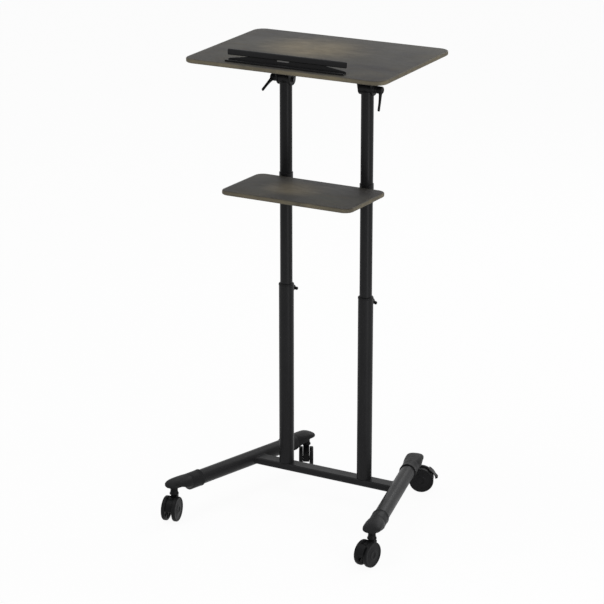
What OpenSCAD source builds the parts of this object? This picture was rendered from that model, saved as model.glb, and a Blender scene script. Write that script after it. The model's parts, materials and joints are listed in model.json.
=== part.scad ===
// Mobile standing desk on a twin-post column with a tilting top, a lower shelf and four twin-wheel casters.
// Units are millimetres. The floor is z = 0, +X is the user's right, +Y points away from the user.

/* [Tabletop] */
// Width of the tabletop from side to side
top_width = 600; // [560:5:640]
// Depth of the tabletop from front to rear
top_depth = 400; // [370:5:420]
// Thickness of the tabletop board
top_thick = 12; // [12:1:18]
// Radius of the tabletop's corners
top_corner = 30; // [20:1:45]
// How far the front edge stands ahead of the tilt axis
top_front = 247; // [230:1:260]
// Tilt of the tabletop at rest, rear edge up, in degrees
top_tilt = 1.9; // [0:0.1:4]

/* [Stop ledge] */
// Length of the ledge along the front edge
ledge_length = 356; // [330:2:380]
// Gap between the tabletop's front edge and the ledge
ledge_inset = 17; // [10:1:24]
// Thickness of the ledge's sheet steel
ledge_sheet = 3; // [2:0.5:4]
// Depth of the flange that lies on the tabletop
ledge_flange = 20; // [16:1:26]
// Height of the ledge's rail above the tabletop
ledge_height = 31; // [26:1:36]
// Height of the folded rail itself
rail_height = 13; // [8:1:15]
// Length of the sloped opening at each end of the ledge
ledge_window = 88; // [70:1:100]
// Length of the gap in the middle of the ledge
ledge_gap = 27; // [15:1:40]

/* [Tilt clamp] */
// Height of the tilt axis above the floor
tilt_height = 1216; // [1160:2:1230]
// Height of the tabletop's underside above the tilt axis
bracket_height = 80.2; // [70:0.2:95]
// Depth of the tilt bracket along the tabletop
bracket_depth = 110; // [90:2:140]
// Thickness of the bracket's steel
bracket_sheet = 3; // [2.5:0.5:4]
// Diameter of the clamp bolts
clamp_bolt = 8; // [6:1:9]
// Length of the clamp lever from its bolt to its tip
lever_length = 52; // [40:1:60]
// Rest angle of the left lever below the forward direction, in degrees
lever_angle_left = 32; // [0:1:90]
// Rest angle of the right lever below the forward direction, in degrees
lever_angle_right = 66; // [0:1:90]

/* [Shelf] */
// Width of the lower shelf
shelf_width = 398; // [370:2:420]
// Depth of the lower shelf
shelf_depth = 215; // [200:1:235]
// Thickness of the shelf board
shelf_thick = 12; // [12:1:18]
// Radius of the shelf's corners
shelf_corner = 24; // [12:1:32]
// Height of the shelf's top surface
shelf_height = 947.4; // [900:0.2:980]

/* [Posts] */
// Distance between the two posts' axes
post_span = 251; // [235:1:275]
// How far the posts stand behind the middle of the footprint
post_back = 62; // [58:0.5:66]
// Outside diameter of the lower posts and outer sleeves
outer_dia = 42; // [41:0.5:44]
// Outside diameter of the sliding inner tubes
inner_dia = 34.5; // [33:0.25:35]
// Wall thickness of the posts' tubes
tube_wall = 1.5; // [1.2:0.1:1.8]
// Height of the seam between lower post and outer sleeve
seam_height = 414; // [380:2:430]
// Height of the outer sleeve's top edge
sleeve_top = 629; // [610:1:650]
// Height of the plastic lip on top of the sleeve
lip_height = 6; // [4:1:9]
// Length of the bushing inside the sleeve
bushing_length = 54; // [40:1:60]
// Height of the lock knobs
knob_height = 612; // [594:1:613]
// Turn of the left lock knob at rest, in degrees
knob_turn_left = 3; // [-45:1:45]
// Turn of the right lock knob at rest, in degrees
knob_turn_right = 15; // [-45:1:45]

/* [Base] */
// Depth of the crossbar from front to rear
bar_depth = 43; // [38:1:46]
// Height of the crossbar's section
bar_height = 20; // [18:1:24]
// Height of the crossbar's top above the leg tubes' axis
bar_rise = 8; // [6:0.5:12]
// Distance from the middle to a leg's axis, beside the posts
leg_half = 233.4; // [225:0.5:245]
// Splay of each leg from straight forward, in degrees
leg_splay = 14.57; // [12:0.1:17]
// Diameter of the leg tubes
leg_dia = 42; // [38:1:44]
// Distance along the leg from the posts to the front caster's stem
leg_front = 315; // [300:1:330]
// Distance along the leg from the posts to the rear caster's stem
leg_rear = 215; // [205:1:230]

/* [End caps] */
// Wall thickness of the plastic end caps
cap_wall = 2; // [1.5:0.5:3]
// Whole length of an end cap
cap_length = 131; // [124:1:140]
// Length of the cap's sleeve around the leg tube
cap_sleeve = 53; // [45:1:60]
// Distance from a caster's stem to the tip of its cap
cap_nose = 33; // [29:1:38]

/* [Casters] */
// Diameter of the caster wheels
wheel_dia = 70; // [64:1:76]
// Width of one wheel
wheel_width = 11; // [10:0.5:12]
// Width of the caster over both wheels
caster_width = 42; // [40:1:46]
// Distance from the swivel axis to the axle
caster_trail = 20; // [18:1:22]
// Height of the cap's underside above the wheels
caster_rise = 20; // [18:1:26]
// Diameter of the swivel pin
swivel_pin = 10; // [8:1:11]
// Diameter of the axle
axle_dia = 8; // [6:1:9]
// Width of the brake pedal's tread
pedal_width = 27; // [20:1:32]
// Rest direction of the front left caster, degrees from +X
swivel_front_left = -78; // [-180:1:180]
// Rest direction of the front right caster, degrees from +X
swivel_front_right = -98; // [-180:1:180]
// Rest direction of the rear left caster, degrees from +X
swivel_rear_left = -61; // [-180:1:180]
// Rest direction of the rear right caster, degrees from +X
swivel_rear_right = 25; // [-180:1:180]

/* [Clearances] */
// Radial clearance of pins and sliding tubes
run_fit = 0.06; // [0.03:0.01:0.1]
// Gap between faces that move past each other
face_gap = 0.4; // [0.3:0.05:0.6]

/* [Hidden] */
$fn = 64;
eps = 0.01;
// Heights of the base, from the floor up
axle_z = wheel_dia / 2;
cap_under = wheel_dia + caster_rise;
leg_z = cap_under + 2;
bar_top = leg_z + bar_rise;
// Posts
outer_bore = outer_dia - 2 * tube_wall;
inner_bore = inner_dia - 2 * tube_wall;
coupling_half = 60;
coupling_bore = inner_dia + 0.9;
bushing_bore = inner_dia + 2 * run_fit;
inner_foot = seam_height + 66;
inner_top = tilt_height - 16;
post_bolt = 8;
plug_height = 8;
// Lock knobs
knob_bolt = 8;
knob_nut = 14;
knob_seat = outer_dia / 2 + 6;
knob_tip = inner_dia / 2 + face_gap;
// Tilt heads, measured from a post's axis
head_half = 18;
head_dia = 30;
cheek_in = head_half + face_gap;
cheek_out = cheek_in + bracket_sheet;
boss_out = cheek_out + 10;
hub_in = boss_out + face_gap;
hub_out = hub_in + 14;
cheek_round = 17;
screw_dia = 4;
screw_grip = 9;
// Shelf brackets
ring_dia = inner_dia + 4;
ring_drop = 32;
ring_rise = 7;
ring_low = shelf_height - shelf_thick - ring_drop;
ring_high = shelf_height + ring_rise;
shelf_rear = -ring_dia / 2 - 0.25;
shelf_front = shelf_rear - shelf_depth;
arm_top = shelf_height - shelf_thick;
arm_inset = 36;
arm_end = 16;
arm_front = shelf_front + arm_inset;
arm_width = 30;
// Caps and casters
cap_dia = leg_dia + 2 * cap_wall;
cap_r = cap_dia / 2;
cap_open = cap_nose - cap_length;
cap_step = cap_open + cap_sleeve;
tube_end = cap_step - 3;
stem_dia = 11;
stem_rise = 16;
pin_length = 26;
neck_dia = swivel_pin + 10;
neck_top = cap_under - 3;
core_half = caster_width / 2 - wheel_width - 0.8;
core_r = axle_z - 4;
pedal_slot = 4.6;
pivot_x = caster_trail + 0.47 * axle_z;
pivot_z = axle_z + 0.65 * axle_z;

// Moves its children to one post's axis, side -1 is left and 1 is right
module at_post(side) {
  translate([side * post_span / 2, post_back, 0]) children();
}

// Moves its children to one leg's axis, with +Y along the leg towards the rear
module on_leg(side) {
  translate([side * leg_half, post_back, leg_z]) rotate([0, 0, side * leg_splay]) children();
}

// Moves its children to a caster's swivel axis, with +X along the caster's trail
module at_caster(side, reach, turn) {
  translate([side * leg_half, post_back, 0])
    rotate([0, 0, side * leg_splay])
      translate([0, reach, 0])
        rotate([0, 0, turn - side * leg_splay]) children();
}

// Moves its children to the tilt axis and turns them by the rest tilt
module on_tilt() {
  translate([0, post_back, tilt_height]) rotate([top_tilt, 0, 0]) children();
}

// Round rod along Y between two places
module rod_y(dia, from, to) {
  translate([0, to, 0]) rotate([90, 0, 0]) cylinder(d = dia, h = to - from);
}

// Round rod along X between two places
module rod_x(dia, from, to) {
  translate([from, 0, 0]) rotate([0, 90, 0]) cylinder(d = dia, h = to - from);
}

// Upright tube between two heights
module tube_z(outside, inside, low, high) {
  difference() {
    translate([0, 0, low]) cylinder(d = outside, h = high - low);
    translate([0, 0, low - 1]) cylinder(d = inside, h = high - low + 2);
  }
}

// Flat outline with four rounded corners, between two x and two y values
module round_rect(x0, x1, y0, y1, r) {
  translate([x0 + r, y0]) square([x1 - x0 - 2 * r, y1 - y0]);
  translate([x0, y0 + r]) square([x1 - x0, y1 - y0 - 2 * r]);
  for (x = [x0 + r, x1 - r])
    for (y = [y0 + r, y1 - r])
      translate([x, y]) circle(r = r);
}

// ---- Base ----

module crossbar_section(inset, r) {
  round_rect(-bar_depth / 2 + inset, bar_depth / 2 - inset, inset, bar_height - inset, r);
}

module crossbar() {
  color([0.13, 0.13, 0.13])
  difference() {
    translate([-leg_half, post_back, bar_top - bar_height])
      rotate([90, 0, 90])
        linear_extrude(2 * leg_half)
          difference() {
            crossbar_section(0, 6);
            crossbar_section(2, 4);
          }
    for (side = [-1, 1]) {
      on_leg(side) rod_y(leg_dia, -2 * bar_depth, 2 * bar_depth);
      at_post(side) translate([0, 0, bar_top - bar_height - 1]) cylinder(d = post_bolt + 0.6, h = bar_height + 2);
    }
  }
}

module leg(side) {
  color([0.13, 0.13, 0.13])
  on_leg(side)
    difference() {
      rod_y(leg_dia, -leg_front - tube_end, leg_rear + tube_end);
      rod_y(leg_dia - 3.2, -leg_front - tube_end - 1, leg_rear + tube_end + 1);
    }
}

// End cap with the stem's axis at the origin and its tip towards +Y
module cap_body() {
  difference() {
    union() {
      rod_y(cap_dia, cap_open, cap_step);
      rod_y(cap_dia + 1.2, cap_open, cap_open + 3);
      intersection() {
        rod_y(cap_dia, cap_step, cap_nose);
        union() {
          translate([-cap_r, cap_step, -cap_r]) cube([cap_dia, cap_nose - cap_r - cap_step, cap_dia]);
          translate([0, cap_nose - cap_r, 0]) cap_dome();
        }
      }
    }
    rod_y(leg_dia, cap_open - 1, tube_end);
    translate([-cap_r - 1, 0, 0])
      rotate([90, 0, 90])
        linear_extrude(cap_dia + 2)
          polygon([
            [cap_step - 0.5, -cap_r - 1],
            [cap_step + 0.5, -cap_r + 1.5],
            [cap_step + 3.5, -cap_r + 8],
            [cap_step + 8, -cap_r + 13],
            [cap_step + 15, -6.5],
            [cap_step + 24, -3.6],
            [cap_step + 33, -2],
            [cap_nose + 1, -2],
            [cap_nose + 1, -cap_r - 1]
          ]);
    translate([0, 0, -3]) cylinder(d = stem_dia, h = 3 + stem_rise);
  }
}

module cap_dome() {
  rotate_extrude()
    union() {
      translate([0, -cap_r]) square([cap_r, cap_dia - 9]);
      translate([0, -cap_r]) square([cap_r - 9, cap_dia]);
      translate([cap_r - 9, cap_r - 9]) circle(r = 9);
    }
}

module front_cap(side) {
  color([0.07, 0.07, 0.07])
  on_leg(side) translate([0, -leg_front, 0]) rotate([0, 0, 180]) cap_body();
}

module rear_cap(side) {
  color([0.07, 0.07, 0.07])
  on_leg(side) translate([0, leg_rear, 0]) cap_body();
}

module caster_stem(side, reach) {
  color([0.75, 0.76, 0.78])
  at_caster(side, reach, 0) {
    translate([0, 0, cap_under]) cylinder(d = stem_dia, h = stem_rise);
    translate([0, 0, neck_top + face_gap]) cylinder(d = neck_dia - 6, h = cap_under - neck_top - face_gap);
    translate([0, 0, neck_top - pin_length]) cylinder(d = swivel_pin, h = pin_length + face_gap + eps);
  }
}

module lower_post(side) {
  color([0.13, 0.13, 0.13])
  at_post(side) tube_z(outer_dia, outer_bore, bar_top, seam_height);
}

module post_plug(side) {
  color([0.55, 0.55, 0.57])
  at_post(side) tube_z(outer_bore, post_bolt, bar_top, bar_top + plug_height);
}

module post_bolts() {
  color([0.72, 0.73, 0.75])
  for (side = [-1, 1])
    at_post(side) {
      translate([0, 0, bar_top - bar_height - 5]) cylinder(d = post_bolt + 5, h = 5);
      translate([0, 0, bar_top - bar_height]) cylinder(d = post_bolt, h = bar_height + plug_height + 4);
    }
}

module post_coupling(side) {
  color([0.55, 0.55, 0.57])
  at_post(side) tube_z(outer_bore, coupling_bore, seam_height - coupling_half, seam_height + coupling_half);
}

module outer_sleeve(side) {
  color([0.13, 0.13, 0.13])
  at_post(side)
    difference() {
      union() {
        tube_z(outer_dia, outer_bore, seam_height, sleeve_top);
        difference() {
          translate([0, 0, knob_height]) rod_y(knob_nut, outer_bore / 2 + 1, knob_seat);
          translate([0, 0, knob_height - 1.5 * knob_nut]) cylinder(d = outer_bore + 1, h = 3 * knob_nut);
        }
      }
      translate([0, 0, knob_height]) rod_y(knob_bolt + 2 * run_fit, 10, knob_seat + 1);
    }
}

module sleeve_bushing(side) {
  color([0.06, 0.06, 0.06])
  at_post(side)
    difference() {
      union() {
        translate([0, 0, sleeve_top - bushing_length]) cylinder(d = outer_bore, h = bushing_length);
        translate([0, 0, sleeve_top]) cylinder(d = outer_dia + 1.4, h = lip_height - 1.5);
        translate([0, 0, sleeve_top + lip_height - 1.5]) cylinder(d1 = outer_dia + 1.4, d2 = outer_dia - 1.6, h = 1.5);
      }
      translate([0, 0, sleeve_top - bushing_length - 1]) cylinder(d = bushing_bore, h = bushing_length + lip_height + 2);
      translate([0, 0, knob_height]) rod_y(knob_bolt + 1, 10, outer_dia / 2);
    }
}

module lock_knob(side, turn) {
  color([0.06, 0.06, 0.06])
  at_post(side)
    translate([0, 0, knob_height])
      rotate([0, turn, 0]) {
        rod_y(knob_bolt, knob_tip, knob_seat + 4);
        rod_y(19, knob_seat + face_gap, knob_seat + 12);
        rod_y(14, knob_seat + 12, knob_seat + 15);
        translate([0, knob_seat + 11, 0])
          rotate([90, 0, 0])
            linear_extrude(8)
              union() {
                translate([-12.5, -3.5]) square([25, 7]);
                for (x = [-12.5, 12.5]) translate([x, 0]) circle(r = 4.5);
              }
      }
}

// ---- Sliding column ----

module inner_tube(side) {
  color([0.14, 0.14, 0.14])
  at_post(side) tube_z(inner_dia, inner_bore, inner_foot, inner_top);
}

module tube_head(side) {
  color([0.12, 0.12, 0.12])
  at_post(side)
    difference() {
      union() {
        translate([0, 0, inner_top - 34]) cylinder(d = inner_bore, h = 34 + eps);
        translate([0, 0, inner_top]) cylinder(d = inner_dia, h = 8);
        translate([0, 0, inner_top + 8]) cylinder(d1 = inner_dia, d2 = head_dia - 2, h = tilt_height - inner_top - 8);
        translate([0, 0, tilt_height]) rod_x(head_dia, -head_half, head_half);
      }
      translate([0, 0, tilt_height]) rod_x(clamp_bolt + 2 * run_fit, -head_half - 1, head_half + 1);
    }
}

module shelf() {
  color([0.36, 0.33, 0.3])
  translate([0, post_back, 0])
    difference() {
      translate([0, 0, shelf_height - shelf_thick])
        linear_extrude(shelf_thick)
          round_rect(-shelf_width / 2, shelf_width / 2, shelf_front, shelf_rear, shelf_corner);
      for (side = [-1, 1])
        for (y = arm_screws())
          translate([side * post_span / 2, y, arm_top - 1]) cylinder(d = screw_dia, h = 1 + screw_grip);
    }
}

// Places of the screws along a shelf arm
function arm_screws() = [for (i = [0:2]) arm_front + arm_end + i * (shelf_rear - arm_front - arm_end - arm_inset) / 2];

module shelf_bracket(side) {
  color([0.12, 0.12, 0.12])
  at_post(side)
    difference() {
      union() {
        tube_z(ring_dia, inner_dia, ring_low, ring_high);
        translate([0, 0, ring_low + 14])
          difference() {
            rod_y(12, inner_dia / 2 + 1, ring_dia / 2 + 6);
            translate([0, 0, -10]) cylinder(d = inner_dia + 0.5, h = 20);
          }
        translate([-arm_width / 2, arm_front, arm_top - 3]) cube([arm_width, shelf_rear - arm_front, 3]);
        translate([2, 0, 0])
          rotate([90, 0, -90])
            linear_extrude(4)
              polygon([
                [ring_dia / 2 - 1, ring_low + 2],
                [-arm_front - 12, arm_top - 9],
                [-arm_front - 12, arm_top - 2.5],
                [ring_dia / 2 - 1, arm_top - 2.5]
              ]);
      }
      translate([0, 0, ring_low - 1]) cylinder(d = inner_dia, h = ring_high - ring_low + 2);
      translate([0, 0, ring_low + 14]) rod_y(6, 10, ring_dia / 2 + 7);
      for (y = arm_screws())
        translate([0, y, arm_top - 14]) cylinder(d = 11, h = 11);
      for (y = arm_screws())
        translate([0, y, arm_top - 4]) cylinder(d = screw_dia, h = 5);
    }
}

module shelf_screws() {
  color([0.2, 0.2, 0.2])
  for (side = [-1, 1])
    for (y = arm_screws())
      at_post(side)
        translate([0, y, arm_top - 3]) {
          translate([0, 0, -2.4]) cylinder(d1 = 6, d2 = 8, h = 2.4);
          cylinder(d = screw_dia, h = 3 + screw_grip);
        }
}

module ring_screws() {
  color([0.2, 0.2, 0.2])
  for (side = [-1, 1])
    at_post(side)
      translate([0, 0, ring_low + 14]) {
        rod_y(6, inner_dia / 2, ring_dia / 2 + 6);
        rod_y(10, ring_dia / 2 + 6, ring_dia / 2 + 11);
      }
}

// ---- Tilting top ----

ledge_front = -top_front + ledge_inset;
ledge_rear = ledge_front + ledge_flange;
surface = bracket_height + top_thick;

// Places of the screws that hold the ledge from below
function ledge_screw_x() = [for (side = [-1, 1]) for (i = [0, 1]) side * (ledge_gap / 2 + 18 + i * (ledge_length / 2 - ledge_gap / 2 - 36))];

module tabletop() {
  color([0.36, 0.33, 0.3])
  on_tilt()
    difference() {
      translate([0, 0, bracket_height])
        linear_extrude(top_thick)
          round_rect(-top_width / 2, top_width / 2, -top_front, top_depth - top_front, top_corner);
      for (side = [-1, 1])
        for (x = [-11, 11])
          for (y = [-1, 1])
            translate([side * post_span / 2 + x, y * (bracket_depth / 2 - 12), bracket_height - 1])
              cylinder(d = screw_dia, h = 1 + screw_grip);
      for (x = ledge_screw_x())
        translate([x, ledge_front + ledge_flange / 2 - 1.5, bracket_height - 1]) cylinder(d = screw_dia, h = top_thick + 2);
    }
}

module stop_ledge() {
  color([0.1, 0.1, 0.1])
  on_tilt()
    difference() {
      translate([-ledge_length / 2, 0, surface])
        rotate([90, 0, 90])
          linear_extrude(ledge_length)
            polygon([
              [ledge_front, 0],
              [ledge_rear, 0],
              [ledge_rear + 5, ledge_height],
              [ledge_rear - 1, ledge_height],
              [ledge_rear - 1 - rail_height * 0.16, ledge_height - rail_height],
              [ledge_rear - ledge_sheet + (ledge_height - rail_height) * 0.16, ledge_height - rail_height],
              [ledge_rear - ledge_sheet + ledge_sheet * 0.16, ledge_sheet],
              [ledge_front, ledge_sheet]
            ]);
      for (side = [-1, 1])
        mirror([side < 0 ? 1 : 0, 0, 0])
          translate([0, ledge_rear + 10, surface])
            rotate([90, 0, 0])
              linear_extrude(ledge_flange + 20)
                polygon([
                  [ledge_length / 2 + 1, ledge_sheet],
                  [ledge_length / 2 - 4, ledge_sheet],
                  [ledge_length / 2 - ledge_window, ledge_height - rail_height],
                  [ledge_length / 2 + 1, ledge_height - rail_height]
                ]);
      translate([-ledge_gap / 2, ledge_front - 10, surface + ledge_height - rail_height - 7])
        cube([ledge_gap, ledge_flange + 20, 7]);
      for (x = ledge_screw_x())
        translate([x, ledge_front + ledge_flange / 2 - 1.5, surface - 1]) cylinder(d = screw_dia, h = ledge_sheet + 2);
    }
}

module ledge_screws() {
  color([0.2, 0.2, 0.2])
  on_tilt()
    for (x = ledge_screw_x())
      translate([x, ledge_front + ledge_flange / 2 - 1.5, bracket_height]) {
        translate([0, 0, -2.4]) cylinder(d1 = 6, d2 = 8, h = 2.4);
        cylinder(d = screw_dia, h = top_thick + ledge_sheet);
      }
}

module cheek_outline() {
  circle(r = cheek_round);
  polygon([
    [-cheek_round, 0],
    [-bracket_depth / 2, bracket_height - 14],
    [-bracket_depth / 2, bracket_height],
    [bracket_depth / 2, bracket_height],
    [bracket_depth / 2, bracket_height - 14],
    [cheek_round, 0]
  ]);
}

module tilt_bracket(side) {
  color([0.12, 0.12, 0.12])
  on_tilt()
    translate([side * post_span / 2, 0, 0])
      difference() {
        union() {
          for (x = [-cheek_out, cheek_in])
            translate([x, 0, 0]) rotate([90, 0, 90]) linear_extrude(bracket_sheet) cheek_outline();
          translate([-cheek_out, -bracket_depth / 2, bracket_height - bracket_sheet])
            cube([2 * cheek_out, bracket_depth, bracket_sheet]);
          mirror([side < 0 ? 1 : 0, 0, 0]) rod_x(20, cheek_out - eps, boss_out);
        }
        rod_x(clamp_bolt, -boss_out - 1, boss_out + 1);
        for (x = [-11, 11])
          for (y = [-1, 1])
            translate([x, y * (bracket_depth / 2 - 12), bracket_height - bracket_sheet - 1])
              cylinder(d = screw_dia, h = bracket_sheet + 2);
      }
}

module bracket_screws() {
  color([0.2, 0.2, 0.2])
  on_tilt()
    for (side = [-1, 1])
      for (x = [-11, 11])
        for (y = [-1, 1])
          translate([side * post_span / 2 + x, y * (bracket_depth / 2 - 12), bracket_height - bracket_sheet]) {
            translate([0, 0, -2.4]) cylinder(d1 = 6, d2 = 8, h = 2.4);
            cylinder(d = screw_dia, h = bracket_sheet + screw_grip);
          }
}

module clamp_bolts() {
  color([0.72, 0.73, 0.75])
  on_tilt()
    for (side = [-1, 1])
      translate([side * post_span / 2, 0, 0])
        mirror([side < 0 ? 1 : 0, 0, 0]) {
          rod_x(clamp_bolt + 6, -cheek_out - 5, -cheek_out);
          rod_x(clamp_bolt, -cheek_out - eps, hub_out - 3);
        }
}

module tilt_lever(side, angle) {
  color([0.08, 0.08, 0.08])
  translate([side * post_span / 2, post_back, tilt_height])
    mirror([side < 0 ? 1 : 0, 0, 0])
      difference() {
        union() {
          rod_x(20, hub_in, hub_out - 1);
          rod_x(17, hub_out - 1, hub_out);
          rotate([180 + angle, 0, 0])
            translate([hub_out - 8.5, 0, 0])
              rotate([90, 0, 90])
                linear_extrude(7)
                  union() {
                    polygon([[0, -8], [16, -5], [lever_length - 4, -3.4], [lever_length - 4, 3.4], [16, 5], [0, 8]]);
                    translate([lever_length - 4, 0]) circle(r = 4);
                  }
        }
        rod_x(clamp_bolt + 2 * run_fit, hub_in - 1, hub_out - 3 + face_gap);
      }
}

// ---- Casters ----

module caster_housing(side, reach, turn, braked) {
  color([0.05, 0.05, 0.05])
  at_caster(side, reach, turn)
    difference() {
      union() {
        translate([0, 0, axle_z + 4]) cylinder(d = neck_dia, h = neck_top - axle_z - 6);
        translate([0, 0, neck_top - 2]) cylinder(d1 = neck_dia, d2 = neck_dia - 3, h = 2);
        intersection() {
          translate([caster_trail, 0, axle_z]) rod_y(2 * core_r, -core_half, core_half);
          translate([-axle_z, -axle_z, axle_z - 6]) cube([3 * axle_z, 2 * axle_z, 2 * axle_z]);
        }
        translate([-neck_dia / 2, -core_half, axle_z + 4])
          cube([neck_dia, 2 * core_half, axle_z - 10]);
        translate([caster_trail, 0, axle_z]) rod_y(axle_dia + 14, -core_half, core_half);
      }
      translate([0, 0, neck_top - pin_length - face_gap]) cylinder(d = swivel_pin + 2 * run_fit, h = pin_length + neck_dia);
      translate([caster_trail, 0, axle_z]) rod_y(axle_dia, -core_half - 1, core_half + 1);
      if (braked) {
        translate([pivot_x, 0, pivot_z]) rod_y(5 + 2 * run_fit, -core_half - 1, core_half + 1);
        translate([pivot_x - 6.6, -pedal_slot, pivot_z - 6.6]) cube([axle_z + 5, 2 * pedal_slot, axle_z + 5]);
        translate([pivot_x, 0, pivot_z]) rod_y(13.2, -pedal_slot, pedal_slot);
      }
    }
}

module caster_axle(side, reach, turn) {
  color([0.75, 0.76, 0.78])
  at_caster(side, reach, turn)
    translate([caster_trail, 0, axle_z])
      rod_y(axle_dia, -caster_width / 2 + 1.8, caster_width / 2 - 1.8);
}

// Wheel profile, x is the radius and y runs from the inner to the outer face
module wheel_profile() {
  difference() {
    polygon([
      [0, 0],
      [axle_dia / 2 + 5, 0],
      [axle_dia / 2 + 6, 1.6],
      [axle_z - 7, 1.6],
      [axle_z - 6, 0],
      [axle_z - 1.2, 0],
      [axle_z, 1.2],
      [axle_z, wheel_width - 2.2],
      [axle_z - 0.7, wheel_width - 0.8],
      [axle_z - 2.2, wheel_width],
      [axle_z - 5, wheel_width],
      [axle_z - 6.2, wheel_width - 1.2],
      [13, wheel_width - 0.6],
      [12, wheel_width],
      [0, wheel_width]
    ]);
    translate([-1, -1]) square([1 + axle_dia / 2 + run_fit, wheel_width - 1.4 + 1]);
  }
}

module caster_wheel(side, reach, turn, face) {
  color([0.04, 0.04, 0.04])
  at_caster(side, reach, turn)
    translate([caster_trail, face * (caster_width / 2 - wheel_width), axle_z])
      rotate([-90 * face, 0, 0])
        rotate_extrude() wheel_profile();
}

module brake_pedal(side, reach, turn) {
  color([0.05, 0.05, 0.05])
  at_caster(side, reach, turn)
    translate([pivot_x, 0, pivot_z]) {
      rod_y(5, -core_half + 0.2, core_half - 0.2);
      difference() {
        union() {
          rod_y(12, -pedal_slot + face_gap, pedal_slot - face_gap);
          translate([0, pedal_slot - face_gap, 0])
            rotate([90, 0, 0])
              linear_extrude(2 * pedal_slot - 2 * face_gap)
                polygon([[-3, 4], [1, 11.5], [4, 12], [17, 3], [13, -1], [5, -2]]);
          translate([0, pedal_width / 2, 0])
            rotate([90, 0, 0])
              linear_extrude(pedal_width)
                polygon([
                  [3.2, 9.6],
                  [4.4, 12.2],
                  [6, 10.6],
                  [15, 6.2],
                  [24, -3],
                  [31, -12.5],
                  [30.6, -15.5],
                  [28, -16],
                  [21, -7],
                  [13, 1.6]
                ]);
        }
        for (s = [-1, 1])
          translate([31.5, s * (pedal_width / 2 + 0.5), -20])
            rotate([0, 0, 45]) translate([-4.5, -4.5, 0]) cube([9, 9, 40]);
      }
    }
}

// ---- Parts list ----

crossbar();
leg(-1);  // leg_left
leg(1);  // leg_right
front_cap(-1);  // front_cap_left
front_cap(1);  // front_cap_right
rear_cap(-1);  // rear_cap_left
rear_cap(1);  // rear_cap_right
caster_stem(-1, -leg_front);  // stem_front_left
caster_stem(1, -leg_front);  // stem_front_right
caster_stem(-1, leg_rear);  // stem_rear_left
caster_stem(1, leg_rear);  // stem_rear_right
lower_post(-1);  // lower_post_left
lower_post(1);  // lower_post_right
post_plug(-1);  // post_plug_left
post_plug(1);  // post_plug_right
post_bolts();
post_coupling(-1);  // post_coupling_left
post_coupling(1);  // post_coupling_right
outer_sleeve(-1);  // outer_sleeve_left
outer_sleeve(1);  // outer_sleeve_right
sleeve_bushing(-1);  // sleeve_bushing_left
sleeve_bushing(1);  // sleeve_bushing_right
lock_knob(-1, knob_turn_left);  // lock_knob_left
lock_knob(1, knob_turn_right);  // lock_knob_right
inner_tube(-1);  // inner_tube_left
inner_tube(1);  // inner_tube_right
tube_head(-1);  // tube_head_left
tube_head(1);  // tube_head_right
shelf();
shelf_bracket(-1);  // shelf_bracket_left
shelf_bracket(1);  // shelf_bracket_right
shelf_screws();
ring_screws();
tabletop();
stop_ledge();
ledge_screws();
tilt_bracket(-1);  // tilt_bracket_left
tilt_bracket(1);  // tilt_bracket_right
bracket_screws();
clamp_bolts();
tilt_lever(-1, lever_angle_left);  // tilt_lever_left
tilt_lever(1, lever_angle_right);  // tilt_lever_right
caster_housing(-1, -leg_front, swivel_front_left, false);  // housing_front_left
caster_housing(1, -leg_front, swivel_front_right, true);  // housing_front_right
caster_housing(-1, leg_rear, swivel_rear_left, false);  // housing_rear_left
caster_housing(1, leg_rear, swivel_rear_right, true);  // housing_rear_right
caster_axle(-1, -leg_front, swivel_front_left);  // axle_front_left
caster_axle(1, -leg_front, swivel_front_right);  // axle_front_right
caster_axle(-1, leg_rear, swivel_rear_left);  // axle_rear_left
caster_axle(1, leg_rear, swivel_rear_right);  // axle_rear_right
caster_wheel(-1, -leg_front, swivel_front_left, -1);  // wheel_front_left_a
caster_wheel(-1, -leg_front, swivel_front_left, 1);  // wheel_front_left_b
caster_wheel(1, -leg_front, swivel_front_right, -1);  // wheel_front_right_a
caster_wheel(1, -leg_front, swivel_front_right, 1);  // wheel_front_right_b
caster_wheel(-1, leg_rear, swivel_rear_left, -1);  // wheel_rear_left_a
caster_wheel(-1, leg_rear, swivel_rear_left, 1);  // wheel_rear_left_b
caster_wheel(1, leg_rear, swivel_rear_right, -1);  // wheel_rear_right_a
caster_wheel(1, leg_rear, swivel_rear_right, 1);  // wheel_rear_right_b
brake_pedal(1, -leg_front, swivel_front_right);  // brake_pedal_front
brake_pedal(1, leg_rear, swivel_rear_right);  // brake_pedal_rear
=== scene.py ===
# %% [markdown]
# The desk as a lesson
# The solid parts of this mobile standing desk were drawn and packed before this script runs.
# Here they come in as a fixed frame, and each one gets its real finish or a finer mesh in its place.
# Everything is in metres, the floor is z = 0, +X is the user's right and +Y points away from the user.

# %% The frame
import json
from math import acos, copysign, cos, degrees, hypot, pi, radians, sin, sqrt

import bmesh
import bpy
from mathutils import Matrix, Vector


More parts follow.
